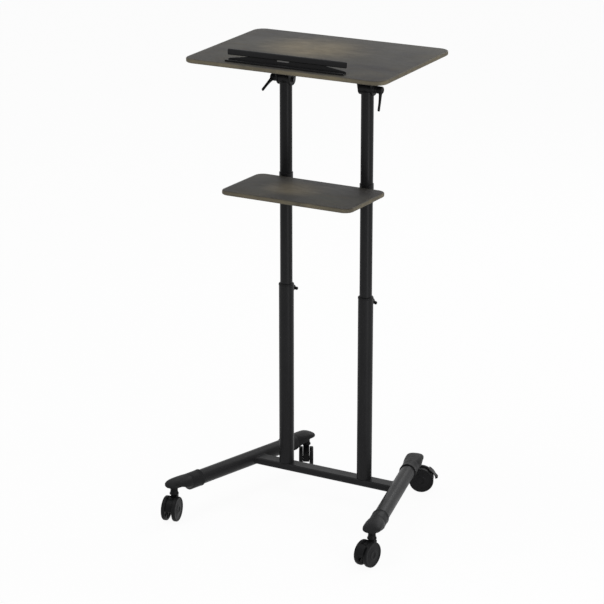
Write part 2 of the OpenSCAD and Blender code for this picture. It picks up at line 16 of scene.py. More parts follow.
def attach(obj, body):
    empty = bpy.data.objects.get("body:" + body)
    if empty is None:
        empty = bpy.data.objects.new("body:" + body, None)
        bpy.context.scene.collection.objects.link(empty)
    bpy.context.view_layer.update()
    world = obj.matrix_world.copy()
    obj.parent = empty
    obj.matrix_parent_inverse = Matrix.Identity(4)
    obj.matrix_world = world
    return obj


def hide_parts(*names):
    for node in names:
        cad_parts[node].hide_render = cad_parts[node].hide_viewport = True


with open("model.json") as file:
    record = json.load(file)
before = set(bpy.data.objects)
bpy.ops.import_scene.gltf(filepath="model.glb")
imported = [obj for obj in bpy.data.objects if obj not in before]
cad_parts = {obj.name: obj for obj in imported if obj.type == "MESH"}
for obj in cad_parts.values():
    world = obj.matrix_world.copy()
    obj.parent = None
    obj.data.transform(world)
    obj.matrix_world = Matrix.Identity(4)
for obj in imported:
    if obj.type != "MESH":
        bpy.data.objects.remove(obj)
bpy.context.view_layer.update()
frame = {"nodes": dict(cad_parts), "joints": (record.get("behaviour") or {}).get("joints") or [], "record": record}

JOINTS = {joint["name"]: joint for joint in frame["joints"]}

# %% [markdown]
# Where things are
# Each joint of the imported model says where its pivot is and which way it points.
# A local frame is built from that for the top, each caster, each post and each end cap,
# so every piece can be drawn in millimetres in the workshop's own directions.
# The sizes that a joint gives away, such as the wheels' radius, are read from it too.

# %% Local frames in millimetres
MM = Matrix.Scale(0.001, 4)
UP = Vector((0, 0, 1))
LEVEL = Vector((1, 1, 0))
SIDES = {"left": -1, "right": 1}
CASTERS = ("front_left", "front_right", "rear_left", "rear_right")


def pivot(joint):
    return Vector(JOINTS[joint]["pos_m"])


def frame_at(origin, x_axis, y_axis, z_axis):
    """A matrix that puts millimetre drawings at a place, along three given directions."""
    columns = Matrix((x_axis, y_axis, z_axis)).transposed().to_4x4()
    return Matrix.Translation(Vector(origin)) @ columns @ MM


tilt_pivot = pivot("top_tilt")
TOP_TILT = radians(1.9)  # at rest the top leans this much towards its user
TOP = Matrix.Translation(tilt_pivot) @ Matrix.Rotation(TOP_TILT, 4, "X") @ MM
POST_Y = tilt_pivot.y
POST_X, _, KNOB_HEIGHT = (1000 * value for value in JOINTS["knob_right_turn"]["pos_m"])
WHEEL_R = 1000 * pivot("wheel_front_left_a_roll").z
TRAIL = 1000 * ((pivot("wheel_front_left_a_roll") - pivot("swivel_front_left_turn")) * LEVEL).length
LEG_AXIS = 92.0


def post_frame(side, height=0.0):
    return Matrix.Translation((side * POST_X * 0.001, POST_Y, height * 0.001)) @ MM


def stem_place(where):
    return pivot(f"swivel_{where}_turn") * LEVEL


def caster_frame(where):
    """+X along the trail of the caster, +Y along its axle, origin on the floor under the stem."""
    axle = Vector(JOINTS[f"wheel_{where}_a_roll"]["axis"]).normalized()
    return frame_at(stem_place(where), axle.cross(UP), axle, UP)


def cap_frame(hand, end):
    """+Y from the stem towards the cap's tip, origin on the leg's axis above the stem."""
    front, rear = stem_place(f"front_{hand}"), stem_place(f"rear_{hand}")
    along = (rear - front).normalized() * (1 if end == "rear" else -1)
    here = (rear if end == "rear" else front) + UP * LEG_AXIS * 0.001
    return frame_at(here, along.cross(UP), along, UP)


print("tilt axis at", [round(v, 3) for v in tilt_pivot], "m, wheels of", round(2 * WHEEL_R), "mm")

# %% [markdown]
# Colours and nodes
# Colours are written as the sRGB codes that one reads off a paint chart.
# Blender's shaders want linear light, so one function turns a code into that.
# One small function adds a node, sets its options and fills or links its sockets.
# The others are short names for the nodes that every finish here needs.


# %% Colour and node helpers
def paint(code):
    """Turns an sRGB hex code into the linear colour that a shader socket takes."""
    values = [int(code[i:i + 2], 16) / 255 for i in (1, 3, 5)]
    linear = [v / 12.92 if v <= 0.04045 else ((v + 0.055) / 1.055) ** 2.4 for v in values]
    return (*linear, 1.0)


def add(tree, kind, options=None, **sockets):
    """Adds one node, whose kind is written without ShaderNode in front.

    Options are its settings, sockets are values or the outputs that feed it. A socket goes by its name,
    or by i and its number where a node has several of one name.
    """
    node = tree.nodes.new("ShaderNode" + kind)
    for name, value in (options or {}).items():
        setattr(node, name, value)
    for name, value in sockets.items():
        numbered = name[0] == "i" and name[1:].isdigit()
        socket = node.inputs[int(name[1:]) if numbered else name.replace("_", " ")]
        if isinstance(value, bpy.types.NodeSocket):
            tree.links.new(value, socket)
        else:
            socket.default_value = value
    return node


def feed(tree, shader, **outputs):
    """Links outputs to the sockets of a shader."""
    for name, output in outputs.items():
        tree.links.new(output, shader.inputs[name.replace("_", " ")])


def new_material(name, colour, roughness, metallic=0.0, ior=None, shine=0.5):
    """A plain finish: a shader with its even values set on its own sockets."""
    material = bpy.data.materials.new(name)
    material.use_nodes = True
    tree = material.node_tree
    shader = tree.nodes["Principled BSDF"]
    values = {"Base Color": paint(colour), "Roughness": roughness, "Metallic": metallic,
              "Specular IOR Level": shine}
    if ior:
        values["IOR"] = ior
    for socket, value in values.items():
        shader.inputs[socket].default_value = value
    material.diffuse_color = paint(colour)
    return material, tree, shader


def ramp(tree, factor, *stops):
    """A colour ramp from (place, code) stops."""
    node = add(tree, "ValToRGB", i0=factor)
    elements = node.color_ramp.elements
    while len(elements) < len(stops):
        elements.new(0.5)
    for element, (place, code) in zip(elements, stops):
        element.position = place
        element.color = paint(code)
    return node.outputs[0]


def mix(tree, share, first, second, blend="MIX"):
    """Blends two colours by a share from 0 to 1."""
    options = {"data_type": "RGBA", "blend_type": blend}
    return add(tree, "Mix", options, i0=share, i6=first, i7=second).outputs[2]


def own_place(tree):
    """The place of a point on its object, in metres."""
    return add(tree, "TexCoord").outputs["Object"]


def noise(tree, place, scale, detail, roughness, distortion=0.0):
    """Soft noise with so many patches to a metre: a scale of 900 makes grains of 1.1 mm."""
    return add(tree, "TexNoise", Vector=place, Scale=scale, Detail=detail,
               Roughness=roughness, Distortion=distortion).outputs[0]


def stretched(tree, place, scale):
    return add(tree, "Mapping", Vector=place, Scale=scale).outputs[0]


def spread(tree, value, low, high, to_low, to_high):
    """Maps one range of values to another."""
    return add(tree, "MapRange", i0=value, i1=low, i2=high,
               i3=to_low, i4=to_high).outputs[0]


def emboss(tree, shader, height, strength, depth_mm):
    bump = add(tree, "Bump", Strength=strength, Distance=depth_mm * 0.001, Height=height)
    feed(tree, shader, Normal=bump.outputs[0])


def weather(tree, shader, colour, clouds, start, gloss, share, dark):
    """Lets clouds of noise move the gloss between two roughnesses and darken the colour a little."""
    tone = ramp(tree, clouds, (0.3, dark), (0.7, "#ffffff"))
    feed(tree, shader, Roughness=spread(tree, clouds, start, 0.7, *gloss),
         Base_Color=mix(tree, share, paint(colour), tone, "MULTIPLY"))


def shown_rays(tree):
    """1 for rays that end in the picture, also by way of a mirror or glass, and 0 for the rest."""
    path = add(tree, "LightPath")
    shown = path.outputs["Is Camera Ray"]
    for kind in ("Is Glossy Ray", "Is Transmission Ray"):
        options = {"operation": "MAXIMUM"}
        shown = add(tree, "Math", options, i0=shown, i1=path.outputs[kind]).outputs[0]
    return shown


print("colour and node helpers ready")

# %% [markdown]
# Black powder coat
# The tubes are mild steel with a polyester powder baked on.
# The powder melts into a tough satin skin with a faint orange-peel ripple about a millimetre wide.
# That skin is what the eye sees, so the shader is a plastic-like layer, not bare metal:
# a near-black colour, a soft wide highlight, and a little unevenness in the gloss.


# %% Powder coat
def powder_coat(name, colour, roughness):
    material, tree, shader = new_material(name, colour, roughness, ior=1.5, shine=0.1)
    place = own_place(tree)
    patches = noise(tree, place, 14.0, 4.0, 0.6)
    gloss = (roughness - 0.05, roughness + 0.06)
    weather(tree, shader, colour, patches, 0.3, gloss, 0.35, "#c8c8ca")
    emboss(tree, shader, noise(tree, place, 900.0, 3.0, 0.55), 0.22, 0.12)
    return material


COAT = powder_coat("black_powder_coated_steel", "#202021", 0.38)
print("made", COAT.name)

# %% [markdown]
# Printed fibreboard
# The tabletop and shelf are 12 mm fibreboard under a printed satin film that looks like
# weathered, cross-sawn stone-grey wood with a warm golden cloud in the middle.
# The print is built from soft noise at three sizes: clouds about 200 mm wide, smears about
# 40 mm wide that run along the board, and fine fibres about 2 mm wide.
# Every vertex carries a number called rim, 0 on the faces and 1 on the edge band,
# where the colour is painted paler and more olive: a painted highlight for the light that the rounded edge catches.


# %% Board finish
def warm_cloud(tree, place, smear, centre, size, most):
    """How golden the print is: most in the middle, with an edge that the smears make ragged."""
    away = add(tree, "VectorMath", {"operation": "SUBTRACT"}, i0=place, i1=centre)
    shrunk = add(tree, "VectorMath", {"operation": "DIVIDE"}, i0=away.outputs[0], i1=size)
    reach = add(tree, "VectorMath", {"operation": "LENGTH"}, i0=shrunk.outputs[0])
    ragged = add(tree, "Math", {"operation": "MULTIPLY_ADD"}, i0=smear, i1=1.1,
                 i2=reach.outputs["Value"])
    return add(tree, "MapRange", {"interpolation_type": "SMOOTHSTEP"},
               i0=ragged.outputs[0], i1=0.75, i2=1.65, i3=most, i4=0.0).outputs[0]


def board_finish(name, cloud_centre, cloud_size, warm, lift):
    material, tree, shader = new_material(name, "#56534f", 0.55, ior=1.5, shine=0.12)
    place = own_place(tree)
    drift = noise(tree, place, 5.5, 5.0, 0.62, 0.6)
    smear = noise(tree, stretched(tree, place, (7.0, 26.0, 7.0)), 1.0, 6.0, 0.65, 0.8)
    fibre = noise(tree, stretched(tree, place, (60.0, 520.0, 60.0)), 1.0, 4.0, 0.6)

    colour = ramp(tree, drift, (0.32, "#464445"), (0.47, "#53514e"), (0.6, "#5c5a55"), (0.72, "#575854"))
    streaks = ramp(tree, smear, (0.3, "#5c5b5c"), (0.5, "#7f7f7d"), (0.68, "#a59f93"))
    colour = mix(tree, 0.75, colour, streaks, "SOFT_LIGHT")
    gold = ramp(tree, drift, (0.35, "#665f50"), (0.65, "#80755f"))
    cloud = warm_cloud(tree, place, smear, cloud_centre, cloud_size, warm)
    colour = mix(tree, cloud, colour, gold)
    grain = ramp(tree, fibre, (0.32, "#a9a6a2"), (0.55, "#ffffff"))
    colour = mix(tree, 0.4, colour, grain, "MULTIPLY")
    # The rim value paints the edge band paler and more olive: a painted highlight on the rounded edge.
    rim = add(tree, "Attribute", {"attribute_name": "rim"})
    edge = ramp(tree, smear, (0.35, "#565044"), (0.5, "#645e50"), (0.66, "#726a58"))
    colour = mix(tree, rim.outputs["Fac"], colour, edge)

    # A Value under 1 darkens the whole print: on the shelf this is painted shade.
    painted_shade_level = add(tree, "HueSaturation", Value=lift, Color=colour)
    feed(tree, shader, Base_Color=painted_shade_level.outputs[0], Roughness=spread(tree, smear, 0.3, 0.7, 0.48, 0.64))
    emboss(tree, shader, fibre, 0.25, 0.2)
    return material


TABLE_PRINT = board_finish("printed_satin_fibreboard_top", (-0.03, 0.06, 1.31), (0.17, 0.13, 1.0),
                           warm=0.85, lift=1.0)
# The shelf has the same film as the top; its copy is darkened to 0.92 as painted shade for the board under the top.
SHELF_PRINT_PAINTED_SHADE = board_finish("printed_satin_fibreboard_shelf_painted_shade", (-0.03, -0.06, 0.947), (0.1, 0.08, 1.0),
                           warm=0.6, lift=0.92)
print("made", TABLE_PRINT.name, "and", SHELF_PRINT_PAINTED_SHADE.name)

# %% [markdown]
# Moulded plastics
# The end caps, bushings and levers are moulded polypropylene or glass-filled nylon, dyed black in the mass.
# The mould is spark-eroded, which leaves a fine even grain about half a millimetre across and a dull sheen.
# Wheels and caster bodies are plain black nylon, a touch glossier, and scuffed where they roll.


# %% Plastics
def moulded_plastic(name, colour, roughness, grain_mm, depth_mm):
    material, tree, shader = new_material(name, colour, roughness, ior=1.49, shine=0.08)
    place = own_place(tree)
    scuffs = noise(tree, place, 45.0, 5.0, 0.65)
    gloss = (roughness - 0.06, roughness + 0.09)
    weather(tree, shader, colour, scuffs, 0.35, gloss, 0.4, "#b4b4b4")
    emboss(tree, shader, noise(tree, place, 1000.0 / grain_mm, 2.0, 0.5), 0.3, depth_mm)
    return material


CAP_PLASTIC = moulded_plastic("black_polypropylene_end_cap", "#202021", 0.48, 0.7, 0.08)
HANDLE_PLASTIC = moulded_plastic("black_glass_filled_nylon_handle", "#19191a", 0.42, 0.6, 0.08)
CASTER_NYLON = moulded_plastic("black_nylon_caster_body", "#161617", 0.42, 0.8, 0.05)
WHEEL_NYLON = moulded_plastic("black_nylon_wheel", "#1b1b1c", 0.42, 0.9, 0.06)
print("made four plastics")

# %% [markdown]
# Bright zinc, black zinc and plain steel
# Stems, axles and bolts are turned steel with a thin zinc plating, bright or blackened.
# It is a real metal surface: its colour is its reflection, so metallic is 1 and the IOR is left alone.
# Turning leaves fine rings, and the plating clouds slightly, which breaks up the shine.


# %% Metals
def turned_metal(name, colour, roughness, cloudiness):
    material, tree, shader = new_material(name, colour, roughness, metallic=1.0)
    place = own_place(tree)
    clouds = noise(tree, place, 160.0, 4.0, 0.6)
    gloss = (roughness - cloudiness, roughness + cloudiness)
    weather(tree, shader, colour, clouds, 0.3, gloss, 0.3, "#c9c7bb")
    rings = add(tree, "TexWave", {"bands_direction": "Z"}, Vector=place, Scale=520.0,
                Distortion=1.5, Detail=2.0)
    emboss(tree, shader, rings.outputs[0], 0.15, 0.05)
    return material


ZINC = turned_metal("bright_zinc_plated_steel", "#d3d4d6", 0.26, 0.08)
PLAIN_STEEL = turned_metal("plain_drawn_steel", "#a9a9ab", 0.4, 0.1)
BLACK_ZINC = turned_metal("black_zinc_plated_screw", "#3a3a3c", 0.38, 0.08)
print("made three metals")

# %% [markdown]
# Drawing helpers
# Four ways of making a shape cover this whole desk: turning a profile on a lathe, cutting a flat
# outline from sheet, joining a row of cross-sections, and rounding the edges afterwards.
# Each helper writes into a bmesh in millimetres. The finished mesh is moved to its place as it is made.


# %% Turning, cutting and lofting
def lathe(bm, profile, steps=48, ring=False, at=Matrix()):
    """Turns (radius, height) points about Z. A ring profile closes on itself."""
    turns = [2 * pi * i / steps for i in range(steps)]
    rows = []
    for radius, height in profile:
        around = [(radius * cos(a), radius * sin(a)) for a in turns]
        if radius < 1e-6:
            around = [(0, 0)]
        rows.append([bm.verts.new(at @ Vector((x, y, height))) for x, y in around])
    pairs = list(zip(rows, rows[1:])) + ([(rows[-1], rows[0])] if ring else [])
    for low, high in pairs:
        for i in range(steps):
            j = (i + 1) % steps
            corners = [low[i % len(low)], low[j % len(low)], high[j % len(high)], high[i % len(high)]]
            corners = list(dict.fromkeys(corners))
            if len(corners) > 2:
                bm.faces.new(corners)
    if not ring:
        for row in (rows[0], rows[-1]):
            if len(row) > 1:
                bm.faces.new(row)


def loft(bm, rows, closed=True):
    """Joins rows of points, each a closed loop, into a skin with an end face on each side."""
    made = [[bm.verts.new(p) for p in row] for row in rows]
    for low, high in zip(made, made[1:]):
        for i in range(len(low)):
            j = (i + 1) % len(low)
            bm.faces.new((low[i], low[j], high[j], high[i]))
    if closed:
        bm.faces.new(made[0])
        bm.faces.new(made[-1])
    return made


def plate(bm, outline, low, high, at=Matrix()):
    """Cuts a flat outline from sheet that lies between two heights."""
    return loft(bm, [[at @ Vector((x, y, z)) for x, y in outline] for z in (low, high)])


def arc(cx, cy, radius, start, end, steps):
    """Points on an arc, with angles in degrees."""
    angles = [radians(start + (end - start) * i / steps) for i in range(steps + 1)]
    return [(cx + radius * cos(a), cy + radius * sin(a)) for a in angles]


def rounded(x0, x1, y0, y1, r, steps=8):
    """A rectangle with rounded corners, anticlockwise from the lower right."""
    return (arc(x1 - r, y0 + r, r, -90, 0, steps) + arc(x1 - r, y1 - r, r, 0, 90, steps)
            + arc(x0 + r, y1 - r, r, 90, 180, steps) + arc(x0 + r, y0 + r, r, 180, 270, steps))


def hexagon(across_flats):
    return arc(0, 0, across_flats / sqrt(3), 0, 300, 5)


# Turning axes: these put a lathe's Z along the drawing's X or Y, and a plate's outline upright
ALONG_X = Matrix(((0, 0, 1, 0), (1, 0, 0, 0), (0, 1, 0, 0), (0, 0, 0, 1)))
ALONG_Y = Matrix(((1, 0, 0, 0), (0, 0, 1, 0), (0, -1, 0, 0), (0, 0, 0, 1)))
UPRIGHT = Matrix(((1, 0, 0, 0), (0, 0, -1, 0), (0, 1, 0, 0), (0, 0, 0, 1)))


def mirrored(side):
    return Matrix.Diagonal((side, 1, 1, 1))


def stand(name, data):
    """Puts a mesh, a lamp or a camera into the scene."""
    thing = bpy.data.objects.new(name, data)
    bpy.context.scene.collection.objects.link(thing)
    return thing


def piece(name, bm, at, body, material, replaces=(), round_mm=0.0, segments=3, smooth=34):
    """Moves a drawing to its place, shades it and lets it ride on its body."""
    bmesh.ops.transform(bm, matrix=at, verts=bm.verts)
    bmesh.ops.recalc_face_normals(bm, faces=bm.faces)
    for face in bm.faces:
        face.smooth = True
    for edge in bm.edges:
        edge.smooth = edge.calc_face_angle(0.0) < radians(smooth)
    mesh = bpy.data.meshes.new(name)
    bm.to_mesh(mesh)
    bm.free()
    mesh.materials.append(material)
    thing = stand(name, mesh)
    if round_mm:
        rounding = thing.modifiers.new("rounded edges", "BEVEL")
        rounding.width = round_mm * 0.001
        rounding.segments = segments
        rounding.limit_method = "ANGLE"
        rounding.angle_limit = radians(smooth)
        rounding.harden_normals = True
    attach(thing, body)
    if replaces:
        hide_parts(*replaces)
    return thing


print("helpers for turning, cutting and lofting ready")

# %% [markdown]
# Finishes for the solid parts
# The crossbar, the posts and the inner tubes are right as they were drawn, and so are the fittings inside them.
# They only need smooth shading and their real finish. The other parts are redrawn below.

# %% Finish the carried-over parts
SLOT_FINISH = {
    "black_powder_coat": COAT,
    "printed_board": TABLE_PRINT,
    "black_plastic": CAP_PLASTIC,
    "handle_plastic": HANDLE_PLASTIC,
    "caster_nylon": CASTER_NYLON,
    "wheel_nylon": WHEEL_NYLON,
    "zinc_steel": ZINC,
    "plain_steel": PLAIN_STEEL,
    "black_screw": BLACK_ZINC,
}
slot_of = {part["node"]: part["material_slot"] for part in frame["record"]["subparts"]}
for name, thing in frame["nodes"].items():
    thing.data.materials.clear()
    thing.data.materials.append(SLOT_FINISH[slot_of[name]])
    for face in thing.data.polygons:
        face.use_smooth = True
print("finished", len(slot_of), "parts")

# %% [markdown]
# Tabletop and shelf
# The boards are routed to shape and their edges are rounded over with a 3 mm cutter before the film goes on.
# A plain box with a bevel would do, but here the outline is drawn once and lofted through
# the round-over, so the rim value, and with it the painted edge highlight, lies exactly where the film turns the
# corner.

# %% Boards
ROUND_OVER, BOARD_THICK = 3.2, 12.0
TOP_SURFACE, SHELF_SURFACE = 92.2, 947.4


def board(name, x0, x1, y0, y1, corner, surface, at, body, finish, node):
    """A routed board with rounded-over edges and a rim value on every vertex."""
    bm = bmesh.new()
    rim = bm.verts.layers.float.new("rim")
    outline = rounded(x0, x1, y0, y1, corner, 14)
    middle = Vector(((x0 + x1) / 2, (y0 + y1) / 2))
    half = Vector(((x1 - x0) / 2, (y1 - y0) / 2))
    steps = 5
    quarter = []
    for i in range(steps + 1):
        angle = pi / 2 * i / steps
        quarter.append((ROUND_OVER * (1 - sin(angle)), ROUND_OVER * (1 - cos(angle)), i / steps))
    levels = [(inset, surface - BOARD_THICK + rise, value) for inset, rise, value in quarter]
    levels += [(inset, surface - rise, value) for inset, rise, value in reversed(quarter)]
    rows = []
    for inset, height, _ in levels:
        shrink = Vector(((half.x - inset) / half.x, (half.y - inset) / half.y))
        flat = [middle + (Vector(point) - middle) * shrink for point in outline]
        rows.append([Vector((point.x, point.y, height)) for point in flat])
    for (_, _, value), verts in zip(levels, loft(bm, rows)):
        for vert in verts:
            vert[rim] = value
    return piece(name, bm, at, body, finish, (node,), smooth=50)


board("tabletop_board", -300, 300, -247, 153, 30, TOP_SURFACE, TOP, "top", TABLE_PRINT, "tabletop")
board("shelf_board", -199, 199, -234.5, -19.5, 24, SHELF_SURFACE, post_frame(0), "column", SHELF_PRINT_PAINTED_SHADE, "shelf")
print("two boards, edges rounded by", ROUND_OVER, "mm")

# %% [markdown]
# Stop ledge
# The ledge is laser-cut sheet steel, folded up along its rear edge and hemmed at the top into a thick rail.
# Its web is cut away in a long shallow slope at each end, with a slot near the middle,
# and a low lip runs along the front.
# Simple pieces of sheet meet in it, and small rounded edges stand for the folds.

# %% Ledge
LEDGE_HALF = 178.0
LEDGE_FRONT, LEDGE_REAR = -230.0, -210.0
LIP_HEIGHT, LIP_THICK = 5.4, 2.2
WEB_THICK, WEB_LEAN = 2.6, 0.16
RAIL_DEEP, RAIL_TALL, RAIL_MIDDLE = 3.3, 7.9, 23.1


def ledge():
    bm = bmesh.new()
    flange = rounded(-LEDGE_HALF, LEDGE_HALF, LEDGE_FRONT, LEDGE_REAR, 4, 6)
    plate(bm, flange, TOP_SURFACE, TOP_SURFACE + 2)
    lip = rounded(-LEDGE_HALF + 1, LEDGE_HALF - 1, LEDGE_FRONT, LEDGE_FRONT + LIP_THICK, 1, 3)
    plate(bm, lip, TOP_SURFACE + 1.5, TOP_SURFACE + LIP_HEIGHT)

    slope = [(-176, 1), (-176.5, 5.4), (-171, 7.2), (-100, 17)]
    slot = [(-30, 16.6), (-29, 11.5), (7, 11.5), (8, 16.6)]
    web = slope + slot + [(-x, z) for x, z in reversed(slope)]
    loft(bm, [[Vector((x, LEDGE_REAR - 3 + thick + WEB_LEAN * z, TOP_SURFACE + z)) for x, z in web]
              for thick in (0, WEB_THICK)])

    stations = [(-LEDGE_HALF, 0.62), (-LEDGE_HALF + 0.9, 0.86), (-LEDGE_HALF + 2.6, 1.0)]
    stations += [(-x, grow) for x, grow in reversed(stations)]
    section = rounded(-RAIL_DEEP, RAIL_DEEP, -RAIL_TALL, RAIL_TALL, 3.0, 6)
    rows = []
    for x, grow in stations:
        lift = 1 - (1 - grow) * 0.4
        rows.append([Vector((x, LEDGE_REAR - 0.1 + WEB_LEAN * up * lift + across * grow,
                             TOP_SURFACE + RAIL_MIDDLE + up * lift)) for across, up in section])
    loft(bm, rows)
    return piece("stop_ledge_sheet", bm, TOP, "top", COAT, ("stop_ledge",), 0.5)


ledge()
print("ledge", 2 * LEDGE_HALF, "mm long")

# %% [markdown]
# Clamp levers
# A nylon lever is moulded round a threaded steel insert. It has a drum that bears on the bracket
# and an arm that thins towards a slightly thicker tip, so that a hand can pull it tight.
# The arm is a loft of rounded cross-sections along a gentle outward sweep, which a plain extrusion can't give.

# %% Levers
HUB_IN, HUB_OUT, HUB_R = 31.8, 45.8, 10.0
HUB_RIBS = 18
LEVER_DROP = {"left": 29.0, "right": 68.0}
# Along the arm, in mm: distance from the bolt, width, thickness and how far it has swept outwards
LEVER_ARM = ((2, 15.0, 7.2, 0), (8, 13.4, 7.0, 0.1), (14, 10.6, 6.6, 0.7), (22, 9.2, 6.0, 1.8),
             (34, 8.0, 5.6, 3.0), (46, 7.8, 5.4, 3.8), (53, 8.2, 5.4, 4.2), (56, 7.2, 4.8, 4.4),
             (57, 4.8, 3.4, 4.4))


def lever(hand):
    side = SIDES[hand]
    bm = bmesh.new()
    drum = [(4.1, HUB_IN), (9.4, HUB_IN), (HUB_R, HUB_IN + 0.6), (HUB_R, HUB_OUT - 2.4), (9.6, HUB_OUT - 1.2),
            (8.4, HUB_OUT - 0.3), (6.6, HUB_OUT), (6.2, HUB_OUT - 0.9), (0, HUB_OUT - 0.9)]
    lathe(bm, drum, 40, at=ALONG_X)
    for i in range(HUB_RIBS):
        turn = Matrix.Rotation(2 * pi * i / HUB_RIBS, 4, "Z")
        rib = [(HUB_R - 0.7, -0.55), (HUB_R + 0.25, -0.35), (HUB_R + 0.25, 0.35), (HUB_R - 0.7, 0.55)]
        plate(bm, rib, HUB_IN + 1.2, HUB_IN + 5.2, at=ALONG_X @ turn)
    drop = radians(LEVER_DROP[hand])
    toward = Vector((0, -cos(drop), -sin(drop)))
    across = Vector((1, 0, 0)).cross(toward)
    rows = []
    for reach, wide, thick, out in LEVER_ARM:
        centre = toward * reach + Vector((HUB_OUT - 5.2 + out, 0, 0))
        section = rounded(-thick / 2, thick / 2, -wide / 2, wide / 2, min(thick, wide) * 0.42, 4)
        rows.append([centre + Vector((x, 0, 0)) + across * y for x, y in section])
    loft(bm, rows)
    here = Matrix.Translation((side * POST_X * 0.001, tilt_pivot.y, tilt_pivot.z))
    return piece(f"clamp_lever_{hand}", bm, here @ mirrored(side) @ MM, f"lever_{hand}",
                 HANDLE_PLASTIC, (f"tilt_lever_{hand}",), 0.35, 2)


for name in SIDES:
    lever(name)
print("two levers")

# %% [markdown]
# Tilt brackets and bolts
# Each bracket is a U of 3 mm steel: two cheeks that straddle the tube head and a web screwed up into the board.
# The cheeks are cut from an outline with a round foot, and a drum is welded outside for the lever to bear on.
# The bolt has a real six-sided head, because a hexagon is what the eye looks for there.

# %% Brackets
SHEET = 3.0
CHEEK_IN, CHEEK_OUT, DRUM_OUT = 18.4, 21.4, 31.4
DRUM_R, FOOT_R, BOLT_R = 10.0, 17.0, 3.95
UNDERSIDE = TOP_SURFACE - BOARD_THICK
BRACKET_HALF = 55.0


def bracket(hand):
    side = SIDES[hand]
    at = TOP @ Matrix.Translation((side * POST_X, 0, 0)) @ mirrored(side)
    rear = [(21, 16), (BRACKET_HALF - 6, 58), (BRACKET_HALF, 68), (BRACKET_HALF, UNDERSIDE - 1)]
    outline = arc(0, 0, FOOT_R, 180, 360, 20) + rear + [(-y, z) for y, z in reversed(rear)]
    bm = bmesh.new()
    for x in (-CHEEK_OUT, CHEEK_IN):
        plate(bm, outline, x, x + SHEET, at=ALONG_X)
    web = rounded(-CHEEK_OUT, CHEEK_OUT, -BRACKET_HALF, BRACKET_HALF, 1, 3)
    plate(bm, web, UNDERSIDE - SHEET, UNDERSIDE)
    drum = [(0, CHEEK_OUT - 1), (DRUM_R, CHEEK_OUT - 1), (DRUM_R, DRUM_OUT), (0, DRUM_OUT)]
    lathe(bm, drum, 40, at=ALONG_X)
    weld = [(DRUM_R, CHEEK_OUT - 0.2), (DRUM_R + 2.2, CHEEK_OUT - 0.2), (DRUM_R + 1.6, CHEEK_OUT + 0.9),
            (DRUM_R, CHEEK_OUT + 2.2)]
    lathe(bm, weld, 40, ring=True, at=ALONG_X)
    piece(f"tilt_bracket_{hand}_steel", bm, at, "top", COAT,
          (f"tilt_bracket_{hand}",), 0.6)


def clamp_bolts():
    bm = bmesh.new()
    for side in SIDES.values():
        turn = Matrix.Translation((side * POST_X, 0, 0)) @ mirrored(side) @ ALONG_X
        plate(bm, hexagon(13), -CHEEK_OUT - 5.3, -CHEEK_OUT - 1.2, at=turn)
        lathe(bm, [(0, -CHEEK_OUT - 1.3), (8, -CHEEK_OUT - 1.3), (8, -CHEEK_OUT), (0, -CHEEK_OUT)], 32, at=turn)
        lathe(bm, [(0, -CHEEK_OUT - 0.2), (BOLT_R, -CHEEK_OUT - 0.2), (BOLT_R, 42.0), (0, 42.0)], 24, at=turn)
    piece("clamp_bolts_steel", bm, TOP, "top", BLACK_ZINC, ("clamp_bolts",), 0.4, 2)


for name in SIDES:
    bracket(name)
clamp_bolts()
print("two tilt brackets and their bolts")

# %% [markdown]
# Shelf brackets
# A ring of tube slides on the inner post and is locked by a screw at the back.
# A folded arm runs forward from it under the shelf, with an upright gusset to stiffen it.
# The ring's upper rim shows as a dark collar just above the shelf's rear edge, so it gets a rolled lip.

# %% Shelf brackets
RING_LOW, RING_HIGH = 903.4, 954.4
RING_BORE, RING_R = 17.3, 19.25
RING_SCREW = RING_LOW + 14
ARM_TOP = SHELF_SURFACE - BOARD_THICK
ARM_FRONT = -198.5


def shelf_bracket(hand):
    bm = bmesh.new()
    lathe(bm, [(RING_BORE, RING_LOW), (RING_R - 0.4, RING_LOW), (RING_R, RING_LOW + 0.5), (RING_R, RING_HIGH - 1.2),
               (RING_R + 0.25, RING_HIGH - 0.6), (RING_R - 0.2, RING_HIGH), (RING_BORE, RING_HIGH)], 56, ring=True)
    plate(bm, rounded(-15, 15, ARM_FRONT, -18.2, 5, 6), ARM_TOP - SHEET, ARM_TOP)
    gusset = [(-18.4, RING_LOW + 2), (-18.4, ARM_TOP - 2), (ARM_FRONT + 12, ARM_TOP - 2),
              (ARM_FRONT + 12, ARM_TOP - 8), (ARM_FRONT + 18, ARM_TOP - 10), (-60, RING_LOW + 13),
              (-34, RING_LOW + 4.5)]
    plate(bm, gusset, -2, 2, at=ALONG_X)
    lathe(bm, [(0, 17.6), (6, 17.6), (6, 25.25), (0, 25.25)], 28, at=Matrix.Translation((0, 0, RING_SCREW)) @ ALONG_Y)
    piece(f"shelf_bracket_{hand}_steel", bm, post_frame(SIDES[hand]), "column", COAT,
          (f"shelf_bracket_{hand}",), 0.5)


for name in SIDES:
    shelf_bracket(name)
print("two shelf brackets")

# %% [markdown]
# Screws
# Small fasteners are drawn with a real drive: a hexagon socket, made by joining a round rim to six-sided walls.
# They all come from one function that is told where they stand and which way their heads look.

# %% Screws
DOWN = Matrix.Rotation(pi, 4, "X")
WOOD_SCREW = {"head_r": 4.0, "head_h": 2.4, "shank_r": 1.95, "shank_l": 11.5, "socket_af": 2.5}
RING_BOLT = {"head_r": 5.0, "head_h": 5.0, "shank_r": 2.95, "shank_l": 7.8, "socket_af": 4.0}


